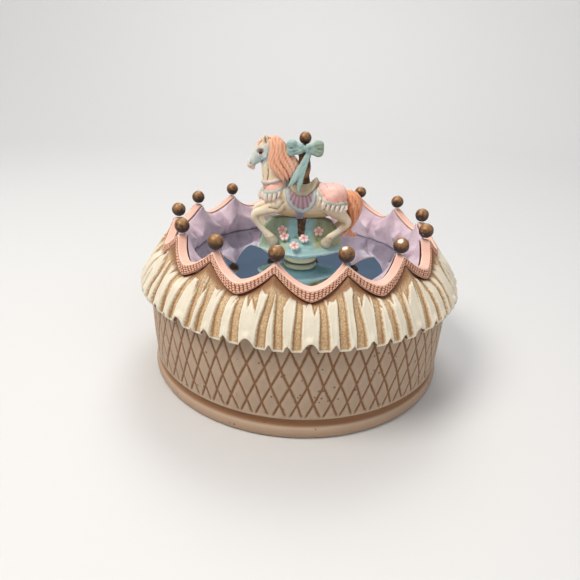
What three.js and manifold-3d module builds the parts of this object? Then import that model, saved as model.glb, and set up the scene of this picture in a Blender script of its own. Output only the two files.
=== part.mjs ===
// Carousel music box: a hollow resin drum with a ruffled skirt and a scalloped rim, a mirror pond, a
// turntable figure of a carousel horse on a pole, and the wind-up musical movement under the deck.
// Millimetres, +Z up. The origin is the centre of the base at table level, the horse faces -X.
import * as THREE from 'three';
import { mergeVertices } from 'three/addons/utils/BufferGeometryUtils.js';
import Module from 'manifold-3d';

const wasm = await Module();
wasm.setup();

// ---- driving dimensions -------------------------------------------------------------------------
const gap = 0.3;                 // clearance between pieces that touch
const posts = 14;                // scallops in the rim, one gold ball on each post
const columns = 112;             // angular steps of the swept rings, eight for each scallop
const firstPost = -39;           // first post, in columns from +X (about -125 degrees)
const flutes = 56;               // ridges of the ruffle, two columns each

const baseRadius = 61.2;         // foot of the drum
const cavityRadius = 57.2;       // hollow underside of the drum
const wellRadius = 48.5;         // inside wall round the mirror
const wallTop = 49.2;            // top of the wall that carries the rim
const deckTop = 40.7;
const deckUnderside = 36.5;
const shaftHole = 3.2;           // hole in the deck and the mirror
const mirrorThickness = 2;
const mirrorTop = deckTop + gap + mirrorThickness;

const bandValleyTop = 53.9;      // pink band, top face between posts
const bandPostTop = 60.7;        // pink band, top face at a post
const bandValleyLow = 49.7;
const bandPostLow = 57.4;
const bandWidth = 3.4;
const ribbonRadius = wellRadius - 0.6;
const ballRadius = 2.75;
const ballRing = 50;             // radius of the circle of balls
const ballHeight = 63.5;
const hemHeight = 38.5;          // lower edge of the ruffle
const hemRadius = 65.2;

const plateTop = 15;             // bedplate of the movement
const plateThickness = 2;
const screwSpots = [[-10.5, -21], [-10.5, 16], [34.2, -19]];
const bossRadius = 3.3;
const barrelRadius = 11.4;
const barrelTop = 22.5;
const shaftRadius = 2;
const arborRadius = 1.5;
const cylinderAxis = 27.3;       // height of the pinned cylinder's arbor
const cylinderRadius = 6.3;
const wheelAt = [8.4, 23.8];     // y and z of the second wheel's arbor
const fanAt = [34, 16.1];        // x and y of the governor's worm
const wheelStation = 29.7;       // x of the great wheel and the pinion beside it

const poleRadius = 2.1;
const poleTop = 90.4;
const finialRadius = 2.4;
const finialHeight = 92.7;
const discRadius = 7;
const discBottom = mirrorTop + gap;
const discTop = 45.6;
const moundLength = 18.5;        // half length of the mound's edge along X
const moundWidth = 13.2;         // half width along Y
const moundEdge = 48;
const moundTop = 53.2;
const legSpread = 4.5;           // y of the legs either side of the middle

// ---- colours ------------------------------------------------------------------------------------
const paint = {
  taupe: [0xae957c, 0.7, 0], cream: [0xe9decb, 0.65, 0], pink: [0xeab09a, 0.55, 0],
  gold: [0x7d5a37, 0.4, 0.5], mirror: [0x8fa3b2, 0.03, 1], lilac: [0xc9b1c0, 0.5, 0],
  steel: [0xb9bcc0, 0.35, 1], brass: [0xc9a24f, 0.3, 1], zinc: [0xa9abad, 0.5, 1],
  teal: [0x8fbfba, 0.55, 0], disc: [0xebe6b4, 0.5, 0], copper: [0x6e462d, 0.45, 0.3],
  aqua: [0x96bfb6, 0.55, 0], ivory: [0xe3d4b6, 0.55, 0], peach: [0xeba57d, 0.55, 0],
  khaki: [0xb9a582, 0.6, 0], mauve: [0xa58488, 0.6, 0], blush: [0xeab4a4, 0.55, 0],
  sky: [0xa9cfd6, 0.5, 0], petal: [0xf0cdc4, 0.6, 0],
};

// ---- helpers ------------------------------------------------------------------------------------
const musicBox = new THREE.Group();
const radians = THREE.MathUtils.degToRad;

// Merge shared vertices, drop collapsed triangles and turn the faces outward.
function closed(geometry) {
  geometry.deleteAttribute('normal');
  geometry.deleteAttribute('uv');
  const merged = mergeVertices(geometry, 1e-4);
  const position = merged.attributes.position;
  const [a, b, c] = [new THREE.Vector3(), new THREE.Vector3(), new THREE.Vector3()];
  const kept = [];
  let volume = 0;
  for (let i = 0; i < merged.index.count; i += 3) {
    const [p, q, r] = [0, 1, 2].map((k) => merged.index.getX(i + k));
    if (p === q || q === r || p === r) continue;
    kept.push(p, q, r);
    a.fromBufferAttribute(position, p);
    b.fromBufferAttribute(position, q);
    c.fromBufferAttribute(position, r);
    volume += a.dot(b.cross(c));
  }
  merged.setIndex(volume < 0 ? kept.reverse() : kept);
  return merged;
}

function solid(geometry) {
  const shape = closed(geometry);
  return new wasm.Manifold(new wasm.Mesh({
    numProp: 3,
    vertProperties: new Float32Array(shape.attributes.position.array),
    triVerts: new Uint32Array(shape.index.array),
  }));
}

function geometryOf(shape) {
  const mesh = shape.getMesh();
  const geometry = new THREE.BufferGeometry();
  geometry.setAttribute('position', new THREE.BufferAttribute(mesh.vertProperties, 3));
  geometry.setIndex(new THREE.BufferAttribute(mesh.triVerts, 1));
  return geometry;
}

function add(name, shape, look) {
  const geometry = shape.isBufferGeometry ? closed(shape) : geometryOf(shape);
  geometry.computeVertexNormals();
  const [color, roughness, metalness] = paint[look];
  const mesh = new THREE.Mesh(geometry, new THREE.MeshStandardMaterial({ color, roughness, metalness }));
  mesh.name = name;
  musicBox.add(mesh);
  return mesh;
}

const join = (shapes) => shapes.reduce((whole, shape) => whole.add(shape));
// The largest piece left by a cut, without the loose crumbs.
const mainBody = (shape) => shape.decompose().sort((a, b) => b.volume() - a.volume())[0];

// Upright cylinder between two heights.
function rod(radius, low, high, x = 0, y = 0, sides = 24, topRadius = radius) {
  const geometry = new THREE.CylinderGeometry(topRadius, radius, high - low, sides);
  return geometry.rotateX(Math.PI / 2).translate(x, y, (low + high) / 2);
}

// Cylinder along X between two stations.
function axle(radius, from, to, y, z, sides = 20) {
  const geometry = new THREE.CylinderGeometry(radius, radius, to - from, sides);
  return geometry.rotateZ(Math.PI / 2).translate((from + to) / 2, y, z);
}

function block(x0, x1, y0, y1, z0, z1) {
  const geometry = new THREE.BoxGeometry(x1 - x0, y1 - y0, z1 - z0);
  return geometry.translate((x0 + x1) / 2, (y0 + y1) / 2, (z0 + z1) / 2);
}

function ellipsoid(rx, ry, rz, x, y, z, sides = 12) {
  return new THREE.SphereGeometry(1, sides, 7).scale(rx, ry, rz).translate(x, y, z);
}

// Body of revolution about Z from [radius, height] pairs.
function turned(profile, segments = 24) {
  const points = profile.map(([r, z]) => new THREE.Vector2(r, z));
  return new THREE.LatheGeometry(points, segments).rotateX(Math.PI / 2);
}

// Closed ring whose section [radius, height] changes from one column to the next.
function sweptRing(section, steps = columns) {
  const count = section(0).length;
  const blank = Array.from({ length: count + 1 }, (_, j) => new THREE.Vector2(1 + j, 0));
  const ring = new THREE.LatheGeometry(blank, steps);
  for (let i = 0; i <= steps; i++) {
    const angle = 2 * Math.PI * (i % steps) / steps;
    const points = section(i % steps);
    for (let j = 0; j <= count; j++) {
      const [r, z] = points[j % count];
      ring.attributes.position.setXYZ(i * (count + 1) + j, r * Math.cos(angle), r * Math.sin(angle), z);
    }
  }
  return ring;
}

// Closed surface through stacked ovals [half length in X, half width in Y, height].
function sweptOval(rings, segments) {
  const oval = new THREE.LatheGeometry(rings.map((_, j) => new THREE.Vector2(1, j)), segments);
  for (let i = 0; i <= segments; i++) {
    const angle = 2 * Math.PI * (i % segments) / segments;
    rings.forEach(([a, b, z], j) => {
      oval.attributes.position.setXYZ(i * rings.length + j, a * Math.cos(angle), b * Math.sin(angle), z);
    });
  }
  return oval;
}

// Rounded body along a path in the XZ plane. Each section is [x, z, half width in Y, half depth].
function limb(sections, y = 0, grow = 0, sides = 12) {
  const last = sections.length - 1;
  const tube = new THREE.CylinderGeometry(1, 1, 1, sides, last);
  const position = tube.attributes.position;
  for (let i = 0; i < position.count; i++) {
    const k = Math.round((0.5 - position.getY(i)) * last);
    const [x, z, width, depth, shift = 0] = sections[k];
    const before = sections[Math.max(k - 1, 0)];
    const after = sections[Math.min(k + 1, last)];
    const tangent = new THREE.Vector2(after[0] - before[0], after[1] - before[1]).normalize();
    const reach = position.getX(i) * (depth + grow);
    const end = k === 0 ? -grow : k === last ? grow : 0;
    position.setXYZ(
      i,
      x - tangent.y * reach + tangent.x * end,
      y + shift + position.getZ(i) * (width + grow),
      z + tangent.x * reach + tangent.y * end,
    );
  }
  return solid(tube);
}

// Outline in the XZ plane, extruded across Y.
function slab(outline, y0, y1) {
  const shape = new THREE.Shape(outline.map(([x, z]) => new THREE.Vector2(x, z)));
  const geometry = new THREE.ExtrudeGeometry(shape, { depth: y1 - y0, bevelEnabled: false });
  return solid(geometry.rotateX(Math.PI / 2).translate(0, y1, 0));
}

// ---- drum ---------------------------------------------------------------------------------------
const drumProfile = [
  [cavityRadius, 0], [baseRadius, 0], [62, 1], [62.1, 3.2], [61.3, 4.5], [60.5, 5.1], [60.5, 7.2],
  [61.5, 7.8], [61.9, 16], [61.8, 30], [61.2, 43.5], [59.5, 45], [55, 46.6], [51.6, 47.4],
  [51.4, wallTop], [wellRadius, wallTop], [wellRadius, deckTop], [shaftHole, deckTop],
  [shaftHole, deckUnderside], [54, deckUnderside], [cavityRadius, 33.5], [cavityRadius, 0],
];
const bosses = screwSpots.map(([x, y]) => (
  solid(rod(bossRadius, plateTop + gap, deckUnderside + 1, x, y, 16))
    .subtract(solid(rod(1.5, plateTop - 1, plateTop + 9, x, y, 10)))
));
add('drum_shell', join([solid(turned(drumProfile, flutes)), ...bosses]), 'taupe');

// Closeness to a post: 1 on a post, 0 half way to the next one.
function nearPost(column) {
  const step = columns / posts;
  const offset = (((column - firstPost) % step) + step) % step;
  return Math.abs(1 - 2 * offset / step);
}
const bandTopAt = (w) => bandValleyTop + (bandPostTop - bandValleyTop) * w ** 1.7;
const bandLowAt = (w) => bandValleyLow + (bandPostLow - bandValleyLow) * w ** 1.5;
const bandInnerAt = (w) => 52 - 3.6 * w ** 1.3;

// The skirt hangs from under the pink band, over the drum's shoulder, and flares to a wavy hem.
add('ruffle_skirt', sweptRing((column) => {
  const top = bandLowAt(nearPost(column)) - 0.35;
  const ridge = column % 2 === 0 ? 1 : 0;
  return [
    [51.9, top], [53.4, top], [56.5, 49 + 0.47 * (top - 49.35)], [59.4 + 0.9 * ridge, 47.1],
    [62 + 1.1 * ridge, 43.2], [hemRadius - 1.8 + 1.8 * ridge, hemHeight], [62.4, hemHeight + 0.2],
    [61.6, 43.8], [59.7, 45.5], [51.9, 47.9],
  ];
}), 'cream');

add('scalloped_rim', sweptRing((column) => {
  const w = nearPost(column);
  const inner = bandInnerAt(w);
  return [
    [inner, bandTopAt(w)], [inner + bandWidth, bandTopAt(w) - 0.2],
    [inner + bandWidth + 0.7, bandLowAt(w)], [inner + 0.5, bandLowAt(w) + 0.1],
  ];
}), 'pink');

// A ball sits on each post with a small flat under it.
const ballProfile = [[0, -2.5]];
for (let angle = -65.4; angle < 90; angle += 31) {
  ballProfile.push([ballRadius * Math.cos(radians(angle)), ballRadius * Math.sin(radians(angle))]);
}
ballProfile.push([0, ballRadius]);
for (let k = 0; k < posts; k++) {
  const angle = 2 * Math.PI * (firstPost + k * columns / posts) / columns;
  const ball = turned(ballProfile, 9);
  ball.translate(ballRing * Math.cos(angle), ballRing * Math.sin(angle), ballHeight);
  add(`rim_ball_${String(k + 1).padStart(2, '0')}`, ball, 'gold');
}

const mirrorLow = deckTop + gap;
add('mirror_disc', turned([
  [shaftHole, mirrorLow], [wellRadius - 0.4, mirrorLow], [wellRadius - 0.4, mirrorTop],
  [shaftHole, mirrorTop], [shaftHole, mirrorLow],
], 36), 'mirror');

// Pleated ribbon standing round the mirror, glued behind each post and falling inward between posts.
add('ribbon', sweptRing((column) => {
  const w = nearPost(column);
  const top = 51 + 8.5 * w ** 1.5;
  const foot = 45.2 + 2.4 * w;
  const low = mirrorTop + gap;
  return [[ribbonRadius, top], [foot, low], [foot - 0.6, low], [ribbonRadius - 0.6, top]];
}), 'lilac');

// ---- musical movement ---------------------------------------------------------------------------
const plateLow = plateTop - plateThickness;
let bedplate = solid(block(-14.5, 38, -26.5, 22.5, plateLow, plateTop));
bedplate = bedplate.subtract(solid(rod(arborRadius + 0.5, plateLow - 1, plateTop + 1, 0, 0, 16)));
for (const [x, y] of screwSpots) {
  bedplate = bedplate.subtract(solid(rod(1.5, plateLow - 1, plateTop + 1, x, y, 12)));
}
const combSeat = solid(block(13, 29.2, -26, -18.5, plateTop - 1, 25.4));
const combScrews = [[16.5, -22.5], [25.5, -22.5]];
const combHoles = combScrews.map(([x, y]) => solid(rod(1.3, 19, 30, x, y, 10)));
bedplate = combHoles.reduce((shape, hole) => shape.subtract(hole), bedplate.add(combSeat));
add('bedplate', bedplate, 'zinc');

// Comb: a steel plate on the seat whose eighteen teeth reach towards the cylinder's pins.
const combTeeth = 18;
const combLeft = 13.4;
const combRight = 29;
const combOutline = [[combLeft, -25.6], [combRight, -25.6]];
const toothPitch = (combRight - combLeft) / combTeeth;
const toothReach = -cylinderRadius - 0.6;
for (let k = 0; k < combTeeth; k++) {
  const right = combRight - k * toothPitch;
  const left = right - toothPitch + 0.3;
  combOutline.push([right, -15.5], [right, toothReach], [left, toothReach], [left, -15.5]);
}
combOutline.push([combLeft, -15.5]);
const combShape = new THREE.Shape(combOutline.map(([x, y]) => new THREE.Vector2(x, y)));
const combPlate = new THREE.ExtrudeGeometry(combShape, { depth: 1.1, bevelEnabled: false });
const comb = combHoles.reduce(
  (shape, hole) => shape.subtract(hole),
  solid(combPlate.translate(0, 0, 25.7)),
);
add('comb', comb, 'steel');
combScrews.forEach(([x, y], k) => {
  const head = solid(rod(2.2, 27.1, 28.5, x, y, 12));
  add(`comb_screw_${k + 1}`, head.add(solid(rod(1, 20, 27.5, x, y, 8))), 'steel');
});

// Mounting screws pass up through the bedplate into the drum's bosses.
screwSpots.forEach(([x, y], k) => {
  const head = solid(rod(2.6, plateLow - gap - 1.6, plateLow - gap, x, y, 12));
  add(`mounting_screw_${k + 1}`, head.add(solid(rod(1.15, plateLow - 1, 22, x, y, 8))), 'steel');
});

// Bearings hold the cylinder's arbor at both ends.
for (const [name, x] of [['cylinder_bearing_inner', 12.2], ['cylinder_bearing_outer', 31.8]]) {
  const post = solid(block(x, x + 1.2, -2.3, 2.3, plateTop + gap, cylinderAxis + 2.3));
  add(name, post.subtract(solid(axle(1.3, x - 1, x + 3, 0, cylinderAxis, 12))), 'brass');
}

function toothedWheel(teeth, root, tip, thickness) {
  const outline = new THREE.Shape();
  for (let k = 0; k < teeth; k++) {
    for (const [part, radius] of [[0, root], [0.3, tip], [0.55, tip], [0.85, root]]) {
      const angle = 2 * Math.PI * (k + part) / teeth;
      outline[k + part === 0 ? 'moveTo' : 'lineTo'](radius * Math.cos(angle), radius * Math.sin(angle));
    }
  }
  outline.closePath();
  return new THREE.ExtrudeGeometry(outline, { depth: thickness, bevelEnabled: false });
}

// Pinned cylinder with its pinion at the barrel's end and its great wheel at the far end.
add('pinned_cylinder', join([
  solid(axle(1, 8.8, 33.1, 0, cylinderAxis, 12)),
  solid(axle(cylinderRadius, 14, 29, 0, cylinderAxis, 28)),
  solid(toothedWheel(8, 1.9, 2.9, 2).rotateY(Math.PI / 2).translate(9.4, 0, cylinderAxis)),
  solid(toothedWheel(32, 6.1, 6.8, 1.4).rotateY(Math.PI / 2).translate(wheelStation, 0, cylinderAxis)),
  solid(axle(2, 28.5, 30, 0, cylinderAxis, 12)),
]), 'brass');

// Second wheel: a pinion beside the great wheel and a worm wheel beside the governor's worm.
add('second_wheel', join([
  solid(axle(0.7, 28.4, 36.6, ...wheelAt, 10)),
  solid(toothedWheel(8, 1.1, 1.9, 1.4).rotateY(Math.PI / 2).translate(wheelStation, ...wheelAt)),
  solid(toothedWheel(24, 5.2, 5.8, 1.2).rotateY(Math.PI / 2).translate(fanAt[0] - 0.6, ...wheelAt)),
]), 'brass');

// Governor: a worm on an upright arbor with a two-bladed air fan.
const fan = join([
  solid(rod(0.6, 17.8, 34.2, ...fanAt, 10)),
  solid(rod(1.5, 20.5, 27.5, ...fanAt, 12)),
  solid(block(fanAt[0] - 3.4, fanAt[0] + 3.4, fanAt[1] - 0.35, fanAt[1] + 0.35, 29.2, 33)),
]);
add('governor_fan', fan, 'steel');

// Bracket: a post with arms above and below the fan and ears beside the second wheel's arbor.
add('governor_bracket', join([
  solid(block(26.9, 36.4, 20.6, 22, plateTop + gap, 36)),
  solid(block(32.2, 35.8, 14.4, 21, plateTop + gap, 17.5)),
  solid(block(32.2, 35.8, 14.4, 21, 34.5, 36)),
  solid(block(26.9, 28.1, 7, 21, plateTop + gap, 25.4)),
]), 'brass');

// Spring barrel: a cup with crown teeth on its rim, turned by the mainspring inside it.
const crownTeeth = 24;
const barrel = [solid(turned([
  [10.6, plateTop + gap], [barrelRadius, plateTop + gap], [barrelRadius, barrelTop], [1.7, barrelTop],
  [1.7, barrelTop - 1], [10.6, barrelTop - 1], [10.6, plateTop + gap],
], 36))];
for (let k = 0; k < crownTeeth; k++) {
  const tooth = block(barrelRadius - 2, barrelRadius - 0.3, -0.45, 0.45, barrelTop - 0.5, barrelTop + 1.4);
  barrel.push(solid(tooth.rotateZ(2 * Math.PI * (k + 0.5) / crownTeeth)));
}
const hub = solid(turned([
  [1.7, barrelTop - 1], [4, barrelTop - 1], [4, barrelTop + 4], [shaftRadius + gap, barrelTop + 4],
  [shaftRadius + gap, barrelTop + 0.6], [1.7, barrelTop + 0.6], [1.7, barrelTop - 1],
], 20));
add('spring_barrel', join([...barrel, hub]), 'brass');
add('drive_shaft', rod(shaftRadius, barrelTop + 0.9, 48.6, 0, 0, 16), 'steel');

// Mainspring: a flat spiral strip between the winding arbor and the barrel wall.
const springTurns = 5;
const springSteps = 10;           // steps in each turn
const springPath = [];
for (let k = 0; k <= springTurns * springSteps; k++) {
  const angle = 2 * Math.PI * k / springSteps;
  const radius = 2.4 + 7.6 * k / (springTurns * springSteps);
  springPath.push([radius, angle]);
}
const springOutline = [
  ...springPath.map(([r, a]) => new THREE.Vector2(r * Math.cos(a), r * Math.sin(a))),
  ...springPath.reverse().map(([r, a]) => new THREE.Vector2((r - 0.3) * Math.cos(a), (r - 0.3) * Math.sin(a))),
];
const springStrip = new THREE.ExtrudeGeometry(
  new THREE.Shape(springOutline),
  { depth: barrelTop - 1.5 - plateTop - 0.7, bevelEnabled: false },
);
add('mainspring', springStrip.translate(0, 0, plateTop + 0.7), 'steel');

// Winding arbor and butterfly key, reached through the open underside.
add('winding_arbor', rod(arborRadius, 8.4, barrelTop - 1.4, 0, 0, 16), 'steel');
const keyOutline = new THREE.Shape();
keyOutline.moveTo(-2.2, 8.2);
keyOutline.lineTo(-4.5, 9.6);
keyOutline.absarc(-8, 6.2, 4.2, radians(60), radians(250), false);
keyOutline.lineTo(-2.2, 4.6);
keyOutline.lineTo(2.2, 4.6);
keyOutline.absarc(8, 6.2, 4.2, radians(290), radians(480), false);
keyOutline.lineTo(2.2, 8.2);
for (const side of [-1, 1]) {
  const eye = new THREE.Path();
  eye.absarc(side * 8, 6.2, 2, 0, 2 * Math.PI, true);
  keyOutline.holes.push(eye);
}
const wings = new THREE.ExtrudeGeometry(keyOutline, { depth: 1.4, bevelEnabled: false, curveSegments: 8 });
const keySleeve = solid(rod(2.9, 2.6, 12.4, 0, 0, 18)).subtract(solid(rod(arborRadius + gap, 8.1, 13, 0, 0, 16)));
add('winding_key', keySleeve.add(solid(wings.rotateX(Math.PI / 2).translate(0, 0.7, 0))), 'steel');

// ---- turntable and mound ------------------------------------------------------------------------
const socketRadius = shaftRadius + gap;
add('turntable_disc', turned([
  [socketRadius, discBottom], [discRadius - 0.4, discBottom], [discRadius, discBottom + 0.6],
  [discRadius, discTop - 0.6], [discRadius - 0.5, discTop], [socketRadius, discTop],
  [socketRadius, discBottom],
], 22), 'disc');

// Mound: a narrow neck that flares to an oval edge, and a dome that rises to the foot of the pole.
const moundRise = (rho) => moundEdge + (moundTop - moundEdge) * (1 - rho * rho) ** 1.2;
const moundRings = [
  [0, 0, 45.9], [6.7, 6.7, 45.9], [7.1, 7, 46.5], [13.5, 10.4, 47.1], [17.9, 12.8, 47.6],
  [moundLength, moundWidth, moundEdge + 0.1],
];
for (const rho of [0.93, 0.8, 0.64, 0.46, 0.26, 0]) {
  moundRings.push([moundLength * rho, moundWidth * rho, moundRise(rho)]);
}
const dome = sweptOval(moundRings, 32);
const bank = slab([
  [-14.5, 48.6], [-13, 53.2], [-10, 57], [-5, 59.2], [4, 59.2], [9, 57.6], [13.4, 54], [16.6, 49.6], [10, 48.2],
], -0.9, 2.8);

// ---- horse --------------------------------------------------------------------------------------
const torso = [
  [-17, 70.6, 1.8, 2.6], [-15, 70.3, 4.4, 5.4], [-10, 69.2, 5.6, 6.6], [-4, 68.3, 5.9, 6.7],
  [2, 67.9, 5.8, 6.5], [8, 68.6, 5.9, 6.7], [13, 69.4, 5.6, 6.2], [16.5, 69.6, 4.2, 4.9],
  [18, 69.8, 1.8, 2.4],
];
const neck = [[-9.5, 70.5, 4.6, 5.8], [-12.3, 78, 3.9, 4.9], [-13, 84, 3.1, 4.1], [-13.6, 89, 2.6, 3.1]];
const head = [
  [-12.4, 90.4, 1.6, 2], [-13.6, 89.4, 2.4, 3], [-15.3, 88, 2.9, 3.8], [-17.2, 86.2, 2.7, 3.6],
  [-19.2, 84, 2, 2.6], [-21, 82.4, 1.7, 2], [-22.5, 81.4, 1.1, 1.3],
];
const ear = [[-14.4, 90.6, 0.9, 1], [-14.6, 92.4, 0.8, 0.9], [-14.9, 93.9, 0.2, 0.25]];
const foreleg = [
  [-9.5, 68.2, 2, 3], [-11.5, 66.4, 2.1, 3], [-15.6, 64.7, 1.9, 2.3], [-18.6, 63.6, 1.8, 1.9],
  [-18.9, 61.6, 1.6, 1.6], [-16.6, 58.4, 1.3, 1.3], [-14.2, 55.6, 1.5, 1.5], [-12.6, 53.9, 1.6, 1.7],
];
const foreHoof = [[-12.8, 54.4, 1.6, 1.7], [-11.6, 52.4, 2, 2.1]];
const hindleg = [
  [10.2, 69.6, 2.6, 4.4], [12.8, 66.8, 2.6, 4], [15.8, 63.7, 2, 2.6], [18.4, 61.4, 1.7, 1.9],
  [17.2, 59.2, 1.4, 1.5], [14.4, 57, 1.3, 1.3], [12.2, 55, 1.5, 1.5], [11.4, 53.8, 1.6, 1.7],
];
const hindHoof = [[11.4, 54.3, 1.6, 1.7], [10.2, 52.2, 2, 2.2]];

function horseBody(grow) {
  const pieces = [limb(torso, 0, grow), limb(neck, 0, grow, 10), limb(head, 0, grow, 10)];
  for (const side of [-1, 1]) {
    pieces.push(limb(ear, side * 1.5, grow, 5));
    for (const leg of [foreleg, foreHoof, hindleg, hindHoof]) {
      pieces.push(limb(leg, side * legSpread, grow, 8));
    }
  }
  return join(pieces);
}
const horse = horseBody(0);
const horseClear = horseBody(gap);
const poleClear = solid(rod(poleRadius + gap, 49, 95, 0, 0, 20));

const sockets = solid(rod(poleRadius + gap, 49.7, 70, 0, 0, 20)).add(solid(rod(socketRadius, 44, 48.9, 0, 0, 16)));
const mound = join([solid(dome), bank]).subtract(horseClear.add(sockets));
add('mound', mainBody(mound), 'teal');
add('pole', rod(poleRadius, 50, poleTop, 0, 0, 20), 'copper');
const finial = [[0, poleTop + gap - finialHeight]];
for (let angle = -56; angle < 90; angle += 24) {
  finial.push([finialRadius * Math.cos(radians(angle)), finialRadius * Math.sin(radians(angle))]);
}
finial.push([0, finialRadius]);
add('pole_finial', turned(finial, 12).translate(0, 0, finialHeight), 'gold');
add('horse', horse.subtract(poleClear), 'ivory');

// Cloth and harness lie on the horse: each is a layer of the body between two offsets, cut to outline.
function layer(outline, thickness, lift = gap) {
  return mainBody(horseBody(lift + thickness).subtract(horseBody(lift)).intersect(slab(outline, -9, 9)));
}
const blanketEdge = [
  [-7, 80], [-6.8, 70.4], [-5, 67], [-2.4, 65.4], [-2.3, 59], [0.7, 59], [0.8, 65.3], [3, 66.6], [4.8, 70], [5, 80],
];
add('saddle_blanket', mainBody(layer(blanketEdge, 0.5).subtract(poleClear)), 'mauve');
const saddleOutline = [
  [-5.6, 78], [-5.4, 75.6], [-3.6, 73.4], [-0.8, 72.3], [2.4, 72.9], [5.2, 74.6], [6.9, 77.6],
  [4.8, 77.4], [2.2, 76.5], [-1.6, 76.3], [-4, 77.2],
];
const saddlePad = slab(saddleOutline, -6.4, 6.4).intersect(solid(ellipsoid(9, 6.6, 8, 0.6, 0, 70.6, 20)));
add('saddle', mainBody(saddlePad.subtract(horseBody(1.1)).subtract(poleClear)), 'khaki');
const rumpEdge = [
  [8.2, 80], [7.6, 76.4], [5.9, 73.2], [5.9, 70.6], [7.6, 68.2], [10.2, 66.9], [15.4, 66.6], [16, 80],
];
add('rump_blanket', layer(rumpEdge, 0.5), 'blush');
const collarEdge = [[-19, 75.6], [-9, 77.4], [-8, 74.4], [-10.4, 70.2], [-13.4, 68.4], [-19, 67.8]];
add('chest_collar', layer(collarEdge, 0.6), 'blush');
const bridleEdge = [
  [-23, 84.8], [-20.6, 86.2], [-20.1, 85.3], [-15.4, 89.6], [-14.4, 94], [-13, 94], [-14, 84],
  [-14.9, 82.8], [-15.9, 83.6], [-14.9, 87.8], [-19.3, 83.9], [-18, 80], [-19.6, 79.6], [-20.6, 82.8],
];
const bridle = layer(bridleEdge, 0.35).subtract(solid(block(-24, 0, -9, 9, 90.6, 97)));
add('bridle', mainBody(bridle), 'sky');

// ---- bow ----------------------------------------------------------------------------------------
function bowShape(grow) {
  const tail = [
    [0.2, 87.6, 0.5, 0.9, 0], [-1, 83.8, 0.5, 1.3, -1.3], [-2.4, 79.6, 0.5, 2, -2.6],
    [-3.9, 75.4, 0.5, 2.7, -3.7],
  ];
  const notch = slab([[-5.2, 73.4], [-3.7, 78], [-2.2, 72.4]], -12, 12);
  return join([
    solid(ellipsoid(3.4 + grow, 1.7 + grow, 3 + grow, -4.4, -3.6, 88.8)),
    solid(ellipsoid(3.2 + grow, 1.7 + grow, 3 + grow, 4.4, -3.6, 88.8)),
    solid(ellipsoid(1.5 + grow, 1.4 + grow, 1.7 + grow, 0, -3.9, 88.8, 10)),
    solid(rod(3.1 + grow, 87.6 - grow, 89.9 + grow, 0, 0, 18)),
    limb(tail, -3.9, grow, 8).subtract(notch),
  ]);
}
add('bow', bowShape(0).subtract(poleClear), 'aqua');

// ---- mane and tail ------------------------------------------------------------------------------
const mane = limb([
  [-15.4, 91.4, 1.1, 0.8], [-13.4, 92, 2.2, 1.3], [-10.8, 90, 3.4, 2.4], [-9.2, 86.4, 4.2, 3.2],
  [-7.9, 82.4, 4.6, 3.6], [-6.8, 79.6, 4, 2.6], [-6, 77.6, 2.2, 1.2],
]);
const maneRoom = join([bowShape(gap), horseBody(1.3).intersect(slab(collarEdge, -9, 9)), poleClear]);
const bridleRoom = horseBody(1).intersect(slab(bridleEdge, -9, 9));
const saddleRoom = saddlePad.add(horseBody(1.1).intersect(slab(blanketEdge, -9, 9)));
const maneCut = join([horseClear, maneRoom, bridleRoom, saddleRoom]);
add('mane', mainBody(mane.subtract(maneCut)), 'peach');
const tail = limb([
  [16.6, 72.6, 1.3, 1.2], [19.6, 72.7, 2, 1.7], [22, 70.4, 2.5, 2.2], [22.3, 66.6, 2.8, 2.4],
  [21.4, 62.6, 2.4, 2.1], [20.2, 59, 1.8, 1.6], [19.4, 56.2, 1.3, 1.2], [19.2, 54.4, 0.5, 0.5],
]);
const tailCut = horseClear.add(horseBody(1.1).intersect(slab(rumpEdge, -9, 9)));
add('tail', mainBody(tail.subtract(tailCut)), 'peach');

// ---- flowers ------------------------------------------------------------------------------------
// Five-petalled blossoms [x, y, lean about X] resting on the mound.
function flowerAt(x, y, z, lean) {
  const outline = new THREE.Shape();
  for (let k = 0; k < 20; k++) {
    const angle = 2 * Math.PI * k / 20;
    const radius = 1.55 + 0.4 * Math.cos(5 * angle);
    outline[k === 0 ? 'moveTo' : 'lineTo'](radius * Math.cos(angle), radius * Math.sin(angle));
  }
  outline.closePath();
  const bloom = new THREE.ExtrudeGeometry(outline, { depth: 0.8, bevelEnabled: false });
  return bloom.rotateX(radians(lean)).translate(x, y, z);
}
const flowers = [
  [-7, -3.4, 25], [0.9, -5.6, 28], [-2.8, -9.2, 40], [-8, -1.3, 90], [7, -1.3, 90],
];
flowers.forEach(([x, y, lean], k) => {
  const rho = Math.hypot(x / moundLength, y / moundWidth);
  const z = lean === 90 ? 56.2 : moundRise(rho) + 1.5;
  add(`flower_${k + 1}`, flowerAt(x, y, z, lean), 'petal');
});

export default musicBox;
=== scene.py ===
# %% [markdown]
# # A carousel music box
# A hollow resin drum carries a frilled skirt, a scalloped brick-weave rim with gold balls, a mirror
# pond edged with satin ribbon, and a little carousel horse that turns when the movement plays.
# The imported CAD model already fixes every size, place and joint. Blender only gives the looks, so
# each step below makes one visible piece around the CAD part that it stands for.

import math

import bmesh
import bpy
import numpy as np
from mathutils import Matrix, Vector


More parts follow.
